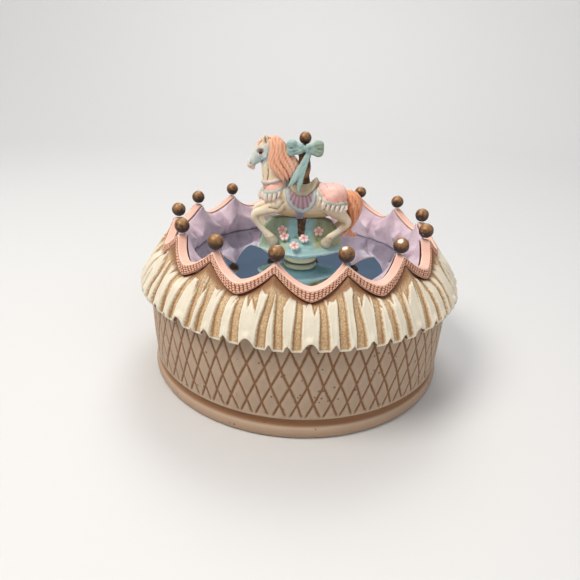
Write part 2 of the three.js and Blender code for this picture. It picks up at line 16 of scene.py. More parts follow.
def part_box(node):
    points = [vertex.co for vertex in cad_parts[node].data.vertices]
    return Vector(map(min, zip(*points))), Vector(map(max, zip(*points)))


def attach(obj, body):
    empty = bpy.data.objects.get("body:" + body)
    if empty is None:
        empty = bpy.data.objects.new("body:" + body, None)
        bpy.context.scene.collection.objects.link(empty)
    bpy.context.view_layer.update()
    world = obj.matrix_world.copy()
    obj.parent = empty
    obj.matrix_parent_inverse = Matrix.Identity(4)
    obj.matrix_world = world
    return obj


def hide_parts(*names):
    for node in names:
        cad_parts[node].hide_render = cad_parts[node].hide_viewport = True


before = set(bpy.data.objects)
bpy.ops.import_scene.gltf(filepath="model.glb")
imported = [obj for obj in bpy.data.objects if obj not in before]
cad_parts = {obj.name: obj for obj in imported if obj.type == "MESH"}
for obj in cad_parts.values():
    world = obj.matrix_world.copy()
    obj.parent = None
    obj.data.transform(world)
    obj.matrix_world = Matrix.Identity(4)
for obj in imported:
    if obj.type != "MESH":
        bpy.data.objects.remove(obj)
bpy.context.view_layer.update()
scene = bpy.context.scene
MM = 0.001  # sizes below are in millimetres, meshes are in metres
TURN = 2 * math.pi

# %% [markdown]
# ## Camera, light and floor
# A product picture needs little: one camera slightly above the object, a big soft lamp that models
# the shapes, a weaker one to open the shadows, and a pale floor that curves up all round like a
# shallow dish. The sky is a vertical gradient: a mirror shows whatever stands around it, so a
# blue-grey band above the horizon gives the pond something calm to reflect.

# %% Camera
VIEW_DOWN = math.radians(24.7)  # the camera looks down by this much
VIEW_ROLL = math.radians(2.2)
camera = bpy.data.objects.new("camera", bpy.data.cameras.new("camera"))
scene.collection.objects.link(camera)
scene.camera = camera
camera.data.lens, camera.data.sensor_width = 29.17, 36
camera.data.clip_start, camera.data.clip_end = 0.01, 20
forward = Vector((0, math.cos(VIEW_DOWN), -math.sin(VIEW_DOWN)))
level_up = Vector((1, 0, 0)).cross(forward)
side = math.cos(VIEW_ROLL) * Vector((1, 0, 0)) + math.sin(VIEW_ROLL) * level_up
up = math.cos(VIEW_ROLL) * level_up - math.sin(VIEW_ROLL) * Vector((1, 0, 0))
camera.matrix_world = Matrix.Translation((-0.0037, -0.1885, 0.1149)) @ Matrix(
    (side, up, -forward)
).transposed().to_4x4()
print("camera stands", round(camera.location.length, 3), "m from the middle")


# %% Lamps, sky and floor
def soft_lamp(name, place, size, watts, colour, aim=(0, 0, 0.04)):
    lamp = bpy.data.lights.new(name, "AREA")
    lamp.shape, lamp.size, lamp.energy, lamp.color = "DISK", size, watts, colour
    holder = bpy.data.objects.new(name, lamp)
    holder.location = place
    holder.rotation_mode = "QUATERNION"
    holder.rotation_quaternion = (Vector(aim) - holder.location).to_track_quat("-Z", "Y")
    scene.collection.objects.link(holder)


soft_lamp("key_lamp", (-0.38, -0.22, 0.7), 0.36, 4.4, (1, 0.965, 0.92))
soft_lamp("fill_lamp", (0.5, -0.55, 0.6), 0.6, 1.3, (1, 0.97, 0.95))
soft_lamp("back_lamp", (0.1, 0.45, 0.95), 0.45, 1.6, (0.95, 0.97, 1))
soft_lamp("backdrop_lamp", (0, 0.95, 1.2), 0.8, 7.0, (1, 1, 1), (0, 1.0, 0))

scene.world = bpy.data.worlds.new("sky")
scene.world.use_nodes = True
sky = scene.world.node_tree
sky_light = sky.nodes["Background"]
sky_light.inputs["Strength"].default_value = 1.0
direction = sky.nodes.new("ShaderNodeTexCoord")
height = sky.nodes.new("ShaderNodeSeparateXYZ")
fade = sky.nodes.new("ShaderNodeValToRGB")
stops = fade.color_ramp.elements
stops[0].position, stops[0].color = 0.1, (0.62, 0.61, 0.6, 1)
stops[1].position, stops[1].color = 0.24, (0.13, 0.175, 0.24, 1)
stops.new(0.62).color = (0.16, 0.2, 0.26, 1)
stops.new(0.9).color = (0.75, 0.76, 0.78, 1)
sky.links.new(direction.outputs["Generated"], height.inputs[0])
sky.links.new(height.outputs["Z"], fade.inputs[0])
sky.links.new(fade.outputs["Color"], sky_light.inputs["Color"])
scene.view_settings.view_transform = "Standard"

SIDES, FLOOR_GAP = 96, 0.0002
sweep = [(0.01, 0), (0.3, 0)] + [(0.7 + 0.6 * math.sin(t), 0.6 - 0.6 * math.cos(t)) for t in np.linspace(0, 1.1, 14)]
floor_mesh = bpy.data.meshes.new("floor")
floor_mesh.from_pydata(
    [(r * math.cos(t), r * math.sin(t), z - FLOOR_GAP) for r, z in sweep for t in np.arange(SIDES) * TURN / SIDES], [],
    [(SIDES * k + j, SIDES * (k + 1) + j, SIDES * (k + 1) + (j + 1) % SIDES, SIDES * k + (j + 1) % SIDES)
     for k in range(len(sweep) - 1) for j in range(SIDES)] + [tuple(range(SIDES))],
)
floor_mesh.polygons.foreach_set("use_smooth", [True] * len(floor_mesh.polygons))
floor = bpy.data.objects.new("floor", floor_mesh)
scene.collection.objects.link(floor)
floor_paint = bpy.data.materials.new("pale_floor")
floor_paint.use_nodes = True
floor_shader = floor_paint.node_tree.nodes["Principled BSDF"]
floor_shader.inputs["Base Color"].default_value = (0.68, 0.66, 0.63, 1)
floor_shader.inputs["Roughness"].default_value = 0.6
floor_mesh.materials.append(floor_paint)

# %% [markdown]
# ## Helpers for shapes
# Most pieces of the drum are rings: a cross-section is carried round the axis and changes on the
# way. The sculpted figure is made of lofts: a path of ovals, joined by a voxel remesh and smoothed,
# which gives the soft joins of a resin cast. A few helpers keep both ways short, and measure how
# hollow or proud each point lies, because hand-painted resin carries its brown wash in the hollows.


# %% Meshes from arrays
def make_mesh(name, points, faces):
    """A mesh object from points in millimetres and equal-sided faces, turned outward."""
    points, faces = np.asarray(points, np.float64), np.asarray(faces, np.int32)
    corners = points[faces]
    volume = 0
    for k in range(1, faces.shape[1] - 1):
        cross = np.cross(corners[:, k], corners[:, k + 1])
        volume += np.einsum("ij,ij->", corners[:, 0], cross)
    if volume < 0:
        faces = faces[:, ::-1]
    mesh = bpy.data.meshes.new(name)
    mesh.vertices.add(len(points))
    mesh.vertices.foreach_set("co", (points * MM).astype(np.float32).ravel())
    mesh.loops.add(faces.size)
    mesh.loops.foreach_set("vertex_index", np.ascontiguousarray(faces).ravel())
    mesh.polygons.add(len(faces))
    mesh.polygons.foreach_set("loop_start", np.arange(len(faces), dtype=np.int32) * faces.shape[1])
    mesh.update(calc_edges=True)
    mesh.polygons.foreach_set("use_smooth", np.ones(len(faces), bool))
    piece = bpy.data.objects.new(name, mesh)
    scene.collection.objects.link(piece)
    return piece


def grid_faces(rows, columns, wrap_rows=True, wrap_columns=False):
    """Four-sided faces of a grid of points, row by row."""
    i = np.arange(rows if wrap_rows else rows - 1)[:, None]
    j = np.arange(columns if wrap_columns else columns - 1)[None, :]
    a, b = i * columns, ((i + 1) % rows) * columns
    k = (j + 1) % columns
    return np.stack([a + j, b + j, b + k, a + k], -1).reshape(-1, 4)


def ring_piece(name, points):
    """A closed ring from points[angle step, section step, xyz]."""
    rows, columns = points.shape[:2]
    return make_mesh(name, points.reshape(-1, 3), grid_faces(rows, columns, True, True))


def weld(piece, distance=0.0005):
    """Merges points that fall together, as at a pole."""
    shape = bmesh.new()
    shape.from_mesh(piece.data)
    bmesh.ops.remove_doubles(shape, verts=shape.verts, dist=distance * MM)
    bmesh.ops.recalc_face_normals(shape, faces=shape.faces)
    shape.to_mesh(piece.data)
    shape.free()
    return piece


def around(radius, angle, height):
    radius, angle, height = np.broadcast_arrays(radius, angle, height)
    return np.stack([radius * np.cos(angle), radius * np.sin(angle), height], -1)


def lathe(profile, steps):
    """Points of a profile of (radius, height) carried round the axis in that many steps."""
    profile = np.asarray(profile, float)
    return around(profile[:, 0][None, :], np.arange(steps)[:, None] * TURN / steps, profile[:, 1][None, :])


def ball_points(sides, rings):
    """Points of a ball of radius 1."""
    polar = np.linspace(-math.pi / 2, math.pi / 2, rings)
    return lathe(np.stack([np.cos(polar), np.sin(polar)], 1), sides).reshape(-1, 3)


def smoothstep(low, high, x):
    t = np.clip((x - low) / (high - low), 0, 1)
    return t * t * (3 - 2 * t)


def points_of(piece):
    co = np.zeros(len(piece.data.vertices) * 3, np.float32)
    piece.data.vertices.foreach_get("co", co)
    return co.reshape(-1, 3).astype(float) / MM


def normals_of(piece):
    normals = np.zeros(len(piece.data.vertices) * 3, np.float32)
    piece.data.vertex_normals.foreach_get("vector", normals)
    return normals.reshape(-1, 3).astype(float)


def move_points(piece, points):
    piece.data.vertices.foreach_set("co", (points * MM).astype(np.float32).ravel())
    piece.data.update()


def press(piece, amount):
    """Moves each point along its normal by that many millimetres."""
    move_points(piece, points_of(piece) + normals_of(piece) * np.asarray(amount)[:, None])


def applied(piece, name):
    """Swaps a piece for the plain mesh that its modifiers make of it."""
    bpy.context.view_layer.update()
    graph = bpy.context.evaluated_depsgraph_get()
    mesh = bpy.data.meshes.new_from_object(piece.evaluated_get(graph))
    bpy.data.objects.remove(piece)
    made = bpy.data.objects.new(name, mesh)
    scene.collection.objects.link(made)
    return made


# %% Values and colours on points
def neighbour_mean(piece, values, steps):
    """Averages values over the edges, again and again, so that they spread and soften."""
    edges = np.zeros(len(piece.data.edges) * 2, np.int32)
    piece.data.edges.foreach_get("vertices", edges)
    a, b = edges[0::2], edges[1::2]
    count = len(piece.data.vertices)
    degree = np.maximum(np.bincount(a, minlength=count) + np.bincount(b, minlength=count), 1)
    flat = np.array(values, float).reshape(count, -1)
    for _ in range(steps):
        spread = [
            np.bincount(a, flat[b, k], count) + np.bincount(b, flat[a, k], count)
            for k in range(flat.shape[1])
        ]
        flat = 0.5 * flat + 0.5 * np.stack(spread, 1) / degree[:, None]
    return flat.reshape(np.shape(values))


def save_value(piece, name, values):
    attribute = piece.data.attributes.new(name, "FLOAT", "POINT")
    attribute.data.foreach_set("value", np.asarray(values, np.float32))


def save_tint(piece, colours):
    attribute = piece.data.attributes.new("tint", "FLOAT_COLOR", "POINT")
    four = np.ones((len(colours), 4), np.float32)
    four[:, :3] = colours
    attribute.data.foreach_set("color", four.ravel())


def save_hollows(piece, steps=10, depth=0.25):
    """Marks how hollow (+1) or proud (-1) each point lies against its softened surroundings."""
    points = points_of(piece)
    inward = np.einsum("ij,ij->i", neighbour_mean(piece, points, steps) - points, normals_of(piece))
    save_value(piece, "hollow", np.clip(neighbour_mean(piece, inward, 1) / depth, -1, 1))


def shade(red, green, blue):
    """A paint colour on the usual 0-255 scale, as the linear light that Blender works with."""
    c = np.array([red, green, blue]) / 255
    return np.where(c <= 0.04045, c / 12.92, ((c + 0.055) / 1.055) ** 2.4)


def mix(first, second, share):
    share = np.clip(np.asarray(share, float), 0, 1)[..., None]
    return first * (1 - share) + second * share


def coats(under, *layers):
    """Lays paint over paint. Each layer is a 0-255 colour and the share of it that covers."""
    for colour, share in layers:
        under = mix(under, shade(*colour), share)
    return under


def two_tone(first, second, share):
    return mix(shade(*first), shade(*second), share)


def ripple(points, pitch, seed=0):
    """Gentle repeatable unevenness, from a few crossing waves of about that pitch."""
    rng = np.random.default_rng(seed)
    total = 0
    for _ in range(6):
        way = rng.normal(size=3)
        way /= np.linalg.norm(way) * pitch * rng.uniform(0.6, 1.5) / TURN
        total = total + np.sin(points @ way + rng.uniform(0, TURN))
    return total / 6


# %% [markdown]
# ## Finishes
# Cast resin is painted by hand: a base coat, a thin brown wash that stays in the hollows, and a dry
# brush that leaves lighter paint on the edges. All painted pieces share this, so it is one node
# group with the hollow mask as an input. A second group ages bare metal. The groups put out only a
# colour, a roughness and a height, and each material sends them to its own Principled shader.


# %% Node groups
def new_group(name, inputs, outputs):
    tree = bpy.data.node_groups.new(name, "ShaderNodeTree")
    for label, kind, value in inputs:
        socket = tree.interface.new_socket(label, in_out="INPUT", socket_type="NodeSocket" + kind)
        if value is not None:
            socket.default_value = value
    for label, kind in outputs:
        tree.interface.new_socket(label, in_out="OUTPUT", socket_type="NodeSocket" + kind)
    return tree, tree.nodes.new("NodeGroupInput"), tree.nodes.new("NodeGroupOutput")


def wire(tree, source, target):
    """Links an output to an input, or sets the input if the source is a plain value."""
    if hasattr(source, "node"):
        tree.links.new(source, target)
    else:
        target.default_value = source


def paint_value(value):
    """Turns a 0-255 colour into a shader colour and leaves any other value as it is."""
    return (*shade(*value), 1) if isinstance(value, tuple) else value


def sum_node(tree, operation, first, second=0.0, third=None, clamp=False):
    node = tree.nodes.new("ShaderNodeMath")
    node.operation, node.use_clamp = operation, clamp
    for value, socket in zip((first, second, third), node.inputs):
        if value is not None:
            wire(tree, value, socket)
    return node.outputs[0]


def range_node(tree, value, low, high, to_low=0.0, to_high=1.0):
    node = tree.nodes.new("ShaderNodeMapRange")
    node.interpolation_type = "SMOOTHSTEP"
    for label, given in (
        ("Value", value), ("From Min", low), ("From Max", high), ("To Min", to_low), ("To Max", to_high),
    ):
        wire(tree, given, node.inputs[label])
    return node.outputs["Result"]


def noise_node(tree, place, scale, detail=3.0):
    node = tree.nodes.new("ShaderNodeTexNoise")
    node.inputs["Detail"].default_value = detail
    wire(tree, place, node.inputs["Vector"])
    wire(tree, scale, node.inputs["Scale"])
    return node.outputs["Fac"]


def blend_node(tree, share, first, second):
    """Mixes two colours. Each is a socket, or a 0-255 colour."""
    node = tree.nodes.new("ShaderNodeMix")
    node.data_type = "RGBA"
    for value, socket in zip((share, first, second), (node.inputs[0], node.inputs[6], node.inputs[7])):
        wire(tree, paint_value(value), socket)
    return node.outputs[2]


def scaled_node(tree, value, factor):
    return sum_node(tree, "MULTIPLY", value, factor)


resin, given, result = new_group(
    "hand_painted_resin",
    [
        ("Place", "Vector", None), ("Paint", "Color", (0.8, 0.8, 0.8, 1)), ("Wash", "Color", (0.2, 0.1, 0.05, 1)),
        ("Highlight", "Color", (0.9, 0.9, 0.85, 1)), ("Hollow", "Float", 0.0), ("Wash Strength", "Float", 0.8),
        ("Brush Strength", "Float", 0.3), ("Grain", "Float", 900.0),
    ],
    [("Colour", "Color"), ("Roughness", "Float"), ("Height", "Float")],
)
patches = noise_node(resin, given.outputs["Place"], 160.0, 4.0)
grain = noise_node(resin, given.outputs["Place"], given.outputs["Grain"], 4.0)
uneven = sum_node(resin, "MULTIPLY_ADD", grain, 0.9, -0.45)
washed = sum_node(resin, "ADD", given.outputs["Hollow"], uneven)
washed = range_node(resin, washed, 0.02, 0.75)
washed = sum_node(resin, "MULTIPLY", washed, given.outputs["Wash Strength"], clamp=True)
proud = sum_node(resin, "SUBTRACT", uneven, given.outputs["Hollow"])
proud = range_node(resin, proud, 0.1, 0.8)
proud = sum_node(resin, "MULTIPLY", proud, given.outputs["Brush Strength"], clamp=True)
patchy = range_node(resin, patches, 0.3, 0.72, 0.3, 0.0)
toned = blend_node(resin, patchy, given.outputs["Paint"], given.outputs["Wash"])
toned = blend_node(resin, 0.32, given.outputs["Paint"], toned)
toned = blend_node(resin, proud, toned, given.outputs["Highlight"])
wire(resin, blend_node(resin, washed, toned, given.outputs["Wash"]), result.inputs["Colour"])
wire(resin, range_node(resin, grain, 0.3, 0.7, 0.5, 0.68), result.inputs["Roughness"])
specks = noise_node(resin, given.outputs["Place"], 2600.0, 2.0)
height = sum_node(resin, "MULTIPLY_ADD", grain, 0.7, scaled_node(resin, specks, 0.3))
wire(resin, height, result.inputs["Height"])

metal, given, result = new_group(
    "aged_metal",
    [
        ("Place", "Vector", None), ("Bright", "Color", (0.8, 0.8, 0.8, 1)), ("Tarnish", "Color", (0.3, 0.2, 0.1, 1)),
        ("Age", "Float", 0.5), ("Scratch Scale", "Float", 700.0),
    ],
    [("Colour", "Color"), ("Roughness", "Float"), ("Height", "Float")],
)
clouds = noise_node(metal, given.outputs["Place"], 220.0, 5.0)
stretched = metal.nodes.new("ShaderNodeMapping")
stretched.inputs["Scale"].default_value = (1, 0.06, 1)
wire(metal, given.outputs["Place"], stretched.inputs["Vector"])
scratches = noise_node(metal, stretched.outputs[0], given.outputs["Scratch Scale"], 4.0)
aged = sum_node(metal, "MULTIPLY", range_node(metal, clouds, 0.42, 0.72), given.outputs["Age"], clamp=True)
wire(metal, blend_node(metal, aged, given.outputs["Bright"], given.outputs["Tarnish"]), result.inputs["Colour"])
rough = sum_node(metal, "MULTIPLY_ADD", aged, 0.25, range_node(metal, scratches, 0.3, 0.7, 0.24, 0.4))
wire(metal, rough, result.inputs["Roughness"])
wire(metal, scratches, result.inputs["Height"])
print("node groups:", [g.name for g in bpy.data.node_groups])


# %% Materials from the groups
def new_material(name):
    material = bpy.data.materials.new(name)
    material.use_nodes = True
    return material, material.node_tree, material.node_tree.nodes["Principled BSDF"]


def attribute_node(tree, name, output="Fac"):
    node = tree.nodes.new("ShaderNodeAttribute")
    node.attribute_name = name
    return node.outputs[output]


def object_place(tree):
    return tree.nodes.new("ShaderNodeTexCoord").outputs["Object"]


def use_group(tree, kind, **values):
    """Places a shared group on object coordinates and gives it sockets, numbers or 0-255 colours."""
    group = tree.nodes.new("ShaderNodeGroup")
    group.node_tree = kind
    wire(tree, object_place(tree), group.inputs["Place"])
    for label, value in values.items():
        wire(tree, paint_value(value), group.inputs[label.replace("_", " ")])
    return group.outputs


def show(tree, shader, colour, roughness, height=None, depth=0.0, strength=0.5, gloss=0.5):
    """Wires a finish to its Principled shader, with a bump of that many millimetres."""
    wire(tree, colour, shader.inputs["Base Color"])
    wire(tree, roughness, shader.inputs["Roughness"])
    shader.inputs["Specular IOR Level"].default_value = gloss
    if height:
        node = tree.nodes.new("ShaderNodeBump")
        node.inputs["Strength"].default_value = strength
        node.inputs["Distance"].default_value = depth * MM
        wire(tree, height, node.inputs["Height"])
        wire(tree, node.outputs[0], shader.inputs["Normal"])


def painted(name, paint=None, wash=(120, 80, 45), highlight=(250, 240, 220), strength=0.8, brush=0.3,
            grain=900.0, relief=0.12):
    """Hand-painted resin. With no paint given, the colour comes from the piece's tint."""
    material, tree, shader = new_material(name)
    out = use_group(tree, resin, Paint=paint or attribute_node(tree, "tint", "Color"), Wash=wash, Highlight=highlight,
                    Hollow=attribute_node(tree, "hollow"), Wash_Strength=strength, Brush_Strength=brush, Grain=grain)
    show(tree, shader, out["Colour"], out["Roughness"], out["Height"], relief, gloss=0.35)
    return material


def bare_metal(name, bright, tarnish, age=0.5, scratches=700.0):
    material, tree, shader = new_material(name)
    out = use_group(tree, metal, Bright=bright, Tarnish=tarnish, Age=age, Scratch_Scale=scratches)
    shader.inputs["Metallic"].default_value = 1.0
    show(tree, shader, out["Colour"], out["Roughness"], out["Height"], 0.03, 0.4)
    return material


def dress(piece, material, body, slot, *nodes):
    """Paints a finished piece, lets it ride on its body, and hides the CAD nodes it stands for."""
    piece.data.materials.clear()
    piece.data.materials.append(material)
    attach(piece, body)
    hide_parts(*nodes)
    print(f"{piece.name}: {len(piece.data.polygons)} faces")
    return piece


# %% [markdown]
# ## The drum
# The drum is one hollow cast. A lathe would make it, and here a profile is carried round in numpy,
# because the wall also needs its hand-cut diamond lattice. The lattice is worked out in diamond
# units and kept as the UV map. The mesh is pressed in along the lines, and the material draws the
# brown line from the same UV, so that groove and paint stay together and the line stays crisp.

# %% Drum wall with its lattice
DRUM_COLUMNS = 816
DIAMONDS, DIAMOND_WIDTH, GROOVE_DEPTH = 68, 5.25, 0.42
outer_wall = [
    (57.4, 0.0), (60.9, 0.0), (61.7, 0.35), (62.1, 1.2), (62.2, 2.3), (62.05, 3.3), (61.5, 4.2), (60.8, 4.8),
    (60.55, 5.3), (60.5, 6.4), (60.6, 7.1), (61.1, 7.6), (61.5, 8.0),
]
outer_wall += [
    (61.5 + 0.4 * math.sin(math.pi * min((z - 8) / 30, 1)) - 0.08 * max(z - 38, 0) ** 1.5, z)
    for z in np.arange(8.6, 44.4, 0.62)
]
inner_wall = [
    (59.6, 44.6), (58.7, 45.1), (57, 45.8), (54.8, 46.7), (51.9, 47.4), (51.5, 48.4), (51.3, 49.1), (50.8, 49.25),
    (48.9, 49.25), (48.5, 48.9), (48.5, 44), (48.5, 41.1), (48.2, 40.7), (30, 40.7), (12, 40.7), (3.5, 40.7),
    (3.2, 40.4), (3.2, 36.8), (3.5, 36.5), (14, 36.5), (34, 36.5), (50, 36.5), (53.6, 36.4), (55.2, 35.6),
    (56.6, 34.3), (57.2, 33), (57.25, 22), (57.3, 10), (57.2, 1), (57.3, 0.2),
]
PLAIN_RESIN = (205, 190, 168)
profile = np.array(outer_wall + inner_wall)
angle = np.arange(DRUM_COLUMNS) * TURN / DRUM_COLUMNS
height = profile[:, 1][None, :] + 0 * angle[:, None]
radius = profile[:, 0][None, :] + 0 * angle[:, None]
sway = 0.05 * np.sin(7 * angle[:, None] + height / 9) + 0.04 * np.sin(23 * angle[:, None] - height / 6)
across = angle[:, None] / TURN * DIAMONDS + sway
along = height / 14.2 + 0.03 * np.sin(11 * angle[:, None] + 1.3)


def line_distance(step):
    """Millimetres to the nearest whole number of diamond units."""
    return np.abs((step + 0.5) % 1 - 0.5) * DIAMOND_WIDTH


nearest = np.minimum(line_distance(across + along), line_distance(across - along))
on_wall = smoothstep(8, 9.5, height) * (np.arange(len(profile)) < len(outer_wall))[None, :]
groove = on_wall * smoothstep(0.62, 0.12, nearest)
lumps = ripple(around(61, angle[:, None], height), 14, 3)
radius = radius - GROOVE_DEPTH * groove + 0.16 * lumps * on_wall
drum = ring_piece("drum_wall", around(radius, angle[:, None], height))
loops = np.zeros(len(drum.data.loops), np.int32)
drum.data.loops.foreach_get("vertex_index", loops)
lattice = np.stack([across.ravel()[loops], along.ravel()[loops]], 1)
seam = np.repeat(np.ptp(lattice[:, 0].reshape(-1, 4), axis=1) > DIAMONDS / 2, 4)
lattice[seam & (lattice[:, 0] < DIAMONDS / 2), 0] += DIAMONDS
drum.data.uv_layers.new(name="lattice").data.foreach_set("uv", lattice.astype(np.float32).ravel())
save_hollows(drum, 12, 0.2)
foot_groove = smoothstep(4.2, 5.0, height) * smoothstep(8.0, 7.2, height)
foot_rim = smoothstep(4.6, 3.6, height)
inside = (np.arange(len(profile)) >= len(outer_wall) + 8)[None, :] + 0 * angle[:, None]
shades = coats(
    shade(181, 156, 132), ((150, 108, 76), foot_groove), ((168, 134, 106), foot_rim * (1 - foot_groove)),
    (PLAIN_RESIN, inside * (1 - foot_rim)),
)
save_tint(drum, shades.reshape(-1, 3))
print("lattice:", DIAMONDS, "diamonds round the wall, groove depth", GROOVE_DEPTH, "mm")

# %% [markdown]
# The underside shows three round bosses for the screws of the movement. They hang from the deck, so
# they are added as lathed stubs to the same piece.

# %% Screw bosses under the deck
boss_profile = [
    (0.0, 16.4), (1.5, 16.4), (1.6, 15.5), (1.8, 15.3), (3.0, 15.3), (3.3, 15.7), (3.35, 24), (3.6, 33), (4.2, 35.6),
    (5.2, 36.7), (0.0, 37.5),
]
for piece in bpy.context.selected_objects:
    piece.select_set(False)
for k in (1, 2, 3):
    low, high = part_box(f"mounting_screw_{k}")
    ring = lathe(boss_profile, 40)
    ring[..., :2] += np.array([(low.x + high.x) / 2, (low.y + high.y) / 2]) / MM
    boss = weld(make_mesh("boss", ring.reshape(-1, 3), grid_faces(*ring.shape[:2])))
    save_value(boss, "hollow", np.zeros(len(boss.data.vertices)))
    save_tint(boss, np.tile(shade(*PLAIN_RESIN), (len(boss.data.vertices), 1)))
    boss.select_set(True)
drum.select_set(True)
bpy.context.view_layer.objects.active = drum
bpy.ops.object.join()
print("drum with bosses:", len(drum.data.polygons), "faces")

# %% [markdown]
# The drum's material adds two things to the painted resin: the brown lattice line from the UV map,
# broken up by noise as a wiped wash is, and pin-holes from air bubbles in the cast. A Voronoi
# texture gives one dot in each cell, and a second noise decides which cells have one.

# %% Drum finish
drum_finish, tree, shader = new_material("washed_taupe_resin")
place = object_place(tree)
out = use_group(
    tree, resin, Paint=attribute_node(tree, "tint", "Color"), Hollow=attribute_node(tree, "hollow"),
    Wash_Strength=0.45, Brush_Strength=0.25, Grain=1100.0, Wash=(134, 92, 58), Highlight=(205, 186, 164),
)
uv = tree.nodes.new("ShaderNodeUVMap")
uv.uv_map = "lattice"
split = tree.nodes.new("ShaderNodeSeparateXYZ")
wire(tree, uv.outputs[0], split.inputs[0])
distances = []
for operation in ("ADD", "SUBTRACT"):
    step = sum_node(tree, operation, split.outputs[0], split.outputs[1])
    step = sum_node(tree, "FRACT", sum_node(tree, "ADD", step, 0.5))
    distances.append(scaled_node(tree, sum_node(tree, "ABSOLUTE", sum_node(tree, "SUBTRACT", step, 0.5)), DIAMOND_WIDTH))
nearest_line = sum_node(tree, "MINIMUM", *distances)
# noise that wears the brown line ragged
wear_and_shade = noise_node(tree, place, 700.0, 3.0)
nearest_line = sum_node(tree, "ADD", nearest_line, sum_node(tree, "MULTIPLY_ADD", wear_and_shade, 0.5, -0.25))
line = range_node(tree, nearest_line, 0.5, 0.22)
parts = tree.nodes.new("ShaderNodeSeparateXYZ")
wire(tree, place, parts.inputs[0])
flat = tree.nodes.new("ShaderNodeVectorMath")
flat.operation = "MULTIPLY"
wire(tree, place, flat.inputs[0])
flat.inputs[1].default_value = (1, 1, 0)
radial = tree.nodes.new("ShaderNodeVectorMath")
radial.operation = "LENGTH"
wire(tree, flat.outputs[0], radial.inputs[0])
outside = range_node(tree, radial.outputs["Value"], 0.0592, 0.0602)
line = sum_node(tree, "MULTIPLY", line, outside)
line = sum_node(tree, "MULTIPLY", line, range_node(tree, parts.outputs[2], 0.0082, 0.0096))
pores = tree.nodes.new("ShaderNodeTexVoronoi")
pores.inputs["Scale"].default_value = 400
wire(tree, place, pores.inputs["Vector"])
pore_size = noise_node(tree, place, 120.0, 1.0)
pore = scaled_node(tree, range_node(tree, pore_size, 0.46, 0.6), 0.17)
pore = sum_node(tree, "LESS_THAN", pores.outputs["Distance"], pore)
pore = sum_node(tree, "MULTIPLY", pore, outside)
colour = blend_node(tree, scaled_node(tree, line, 0.9), out["Colour"], (136, 92, 56))
colour = blend_node(tree, scaled_node(tree, pore, 0.75), colour, (104, 70, 48))
relief = sum_node(tree, "SUBTRACT", out["Height"], scaled_node(tree, line, 1.6))
relief = sum_node(tree, "SUBTRACT", relief, scaled_node(tree, pore, 2.0))
show(tree, shader, colour, out["Roughness"], relief, 0.16, 0.6, gloss=0.3)
dress(drum, drum_finish, "base", "drum_resin", "drum_shell")

# %% [markdown]
# ## The rim
# The scalloped band and the skirt share one rule: how near a point is to a post. The band rises to a
# point at each of fourteen posts and dips between them. Writing that rule once keeps the skirt, the
# band, the ribbon and the balls fitting each other.

# %% The scallop rule
POSTS = 14
FIRST_POST = -39 / 112 * TURN


def near_post(angle):
    """1 on a post and 0 half way between two."""
    return np.abs(1 - 2 * (((angle - FIRST_POST) * POSTS / TURN) % 1))


def band_top(w):
    return 53.9 + 6.8 * w**1.7


def band_low(w):
    return 49.7 + 7.7 * w**1.5


def band_inner(w):
    return 52 - 3.6 * w**1.3


# %% [markdown]
# ## The frilled skirt
# Gathered cloth cast in resin: flat-topped folds in cream, and sunk channels between them that keep
# the tan wash. Real folds are uneven, so each channel gets its own place, width, lean and length,
# and shorter cuts run down from the top to fork the folds. All of them are written as one distance
# in millimetres to the nearest fold edge. It shapes the mesh and, saved on the points, tells the
# material where cream paint ends, so shape and paint agree.

# %% Fold pattern
SKIRT_COLUMNS, SKIRT_ROWS = 1512, 40
REACH = 62.0  # radius at which the fold pattern is measured
rng = np.random.default_rng(24)
angle = np.arange(SKIRT_COLUMNS)[:, None] * TURN / SKIRT_COLUMNS
w = near_post(angle)
along = (np.arange(SKIRT_ROWS)[None, :] / (SKIRT_ROWS - 1)) ** 0.92
top = band_low(w) - 0.35
stations = [
    (np.full_like(top, 52.6), top), (np.full_like(top, 54.4), top - 0.25 - 0.12 * (top - 49.35)),
    (np.full_like(top, 57.0), 48.9 + 0.44 * (top - 49.35)), (np.full_like(top, 60.0), 47.0 + 0 * top),
    (np.full_like(top, 62.5), 43.4 + 0 * top), (np.full_like(top, 64.2), 40.0 + 0 * top),
    (np.full_like(top, 64.9), 38.3 + 0 * top),
]
lengths = [0 * top]
for (r0, z0), (r1, z1) in zip(stations, stations[1:]):
    lengths.append(lengths[-1] + np.hypot(r1 - r0, z1 - z0))
total = lengths[-1]
travel = along * total
skirt_r, skirt_z = 0 * travel, 0 * travel
for k in range(len(stations) - 1):
    share = (travel - lengths[k]) / (lengths[k + 1] - lengths[k])
    here = (share >= 0) & (share <= 1 + 1e-9)
    ease = np.clip(share, 0, 1)
    skirt_r = np.where(here, stations[k][0] * (1 - ease) + stations[k + 1][0] * ease, skirt_r)
    skirt_z = np.where(here, stations[k][1] * (1 - ease) + stations[k + 1][1] * ease, skirt_z)
for _ in range(3):  # soften the bends of the profile
    skirt_r[:, 1:-1] = (skirt_r[:, :-2] + 2 * skirt_r[:, 1:-1] + skirt_r[:, 2:]) / 4
    skirt_z[:, 1:-1] = (skirt_z[:, :-2] + 2 * skirt_z[:, 1:-1] + skirt_z[:, 2:]) / 4
up_hem = total - travel  # millimetres above the hem, along the cloth


def side_distance(place):
    return ((angle * REACH - place + math.pi * REACH) % (TURN * REACH)) - math.pi * REACH


edge = np.full(travel.shape, 9.0)


def cut(distance):
    """Adds one cut to the pattern with a rounded join where two meet."""
    global edge
    share = np.clip(0.5 + 0.5 * (edge - distance) / 0.3, 0, 1)
    edge = edge * (1 - share) + distance * share - 0.3 * share * (1 - share)


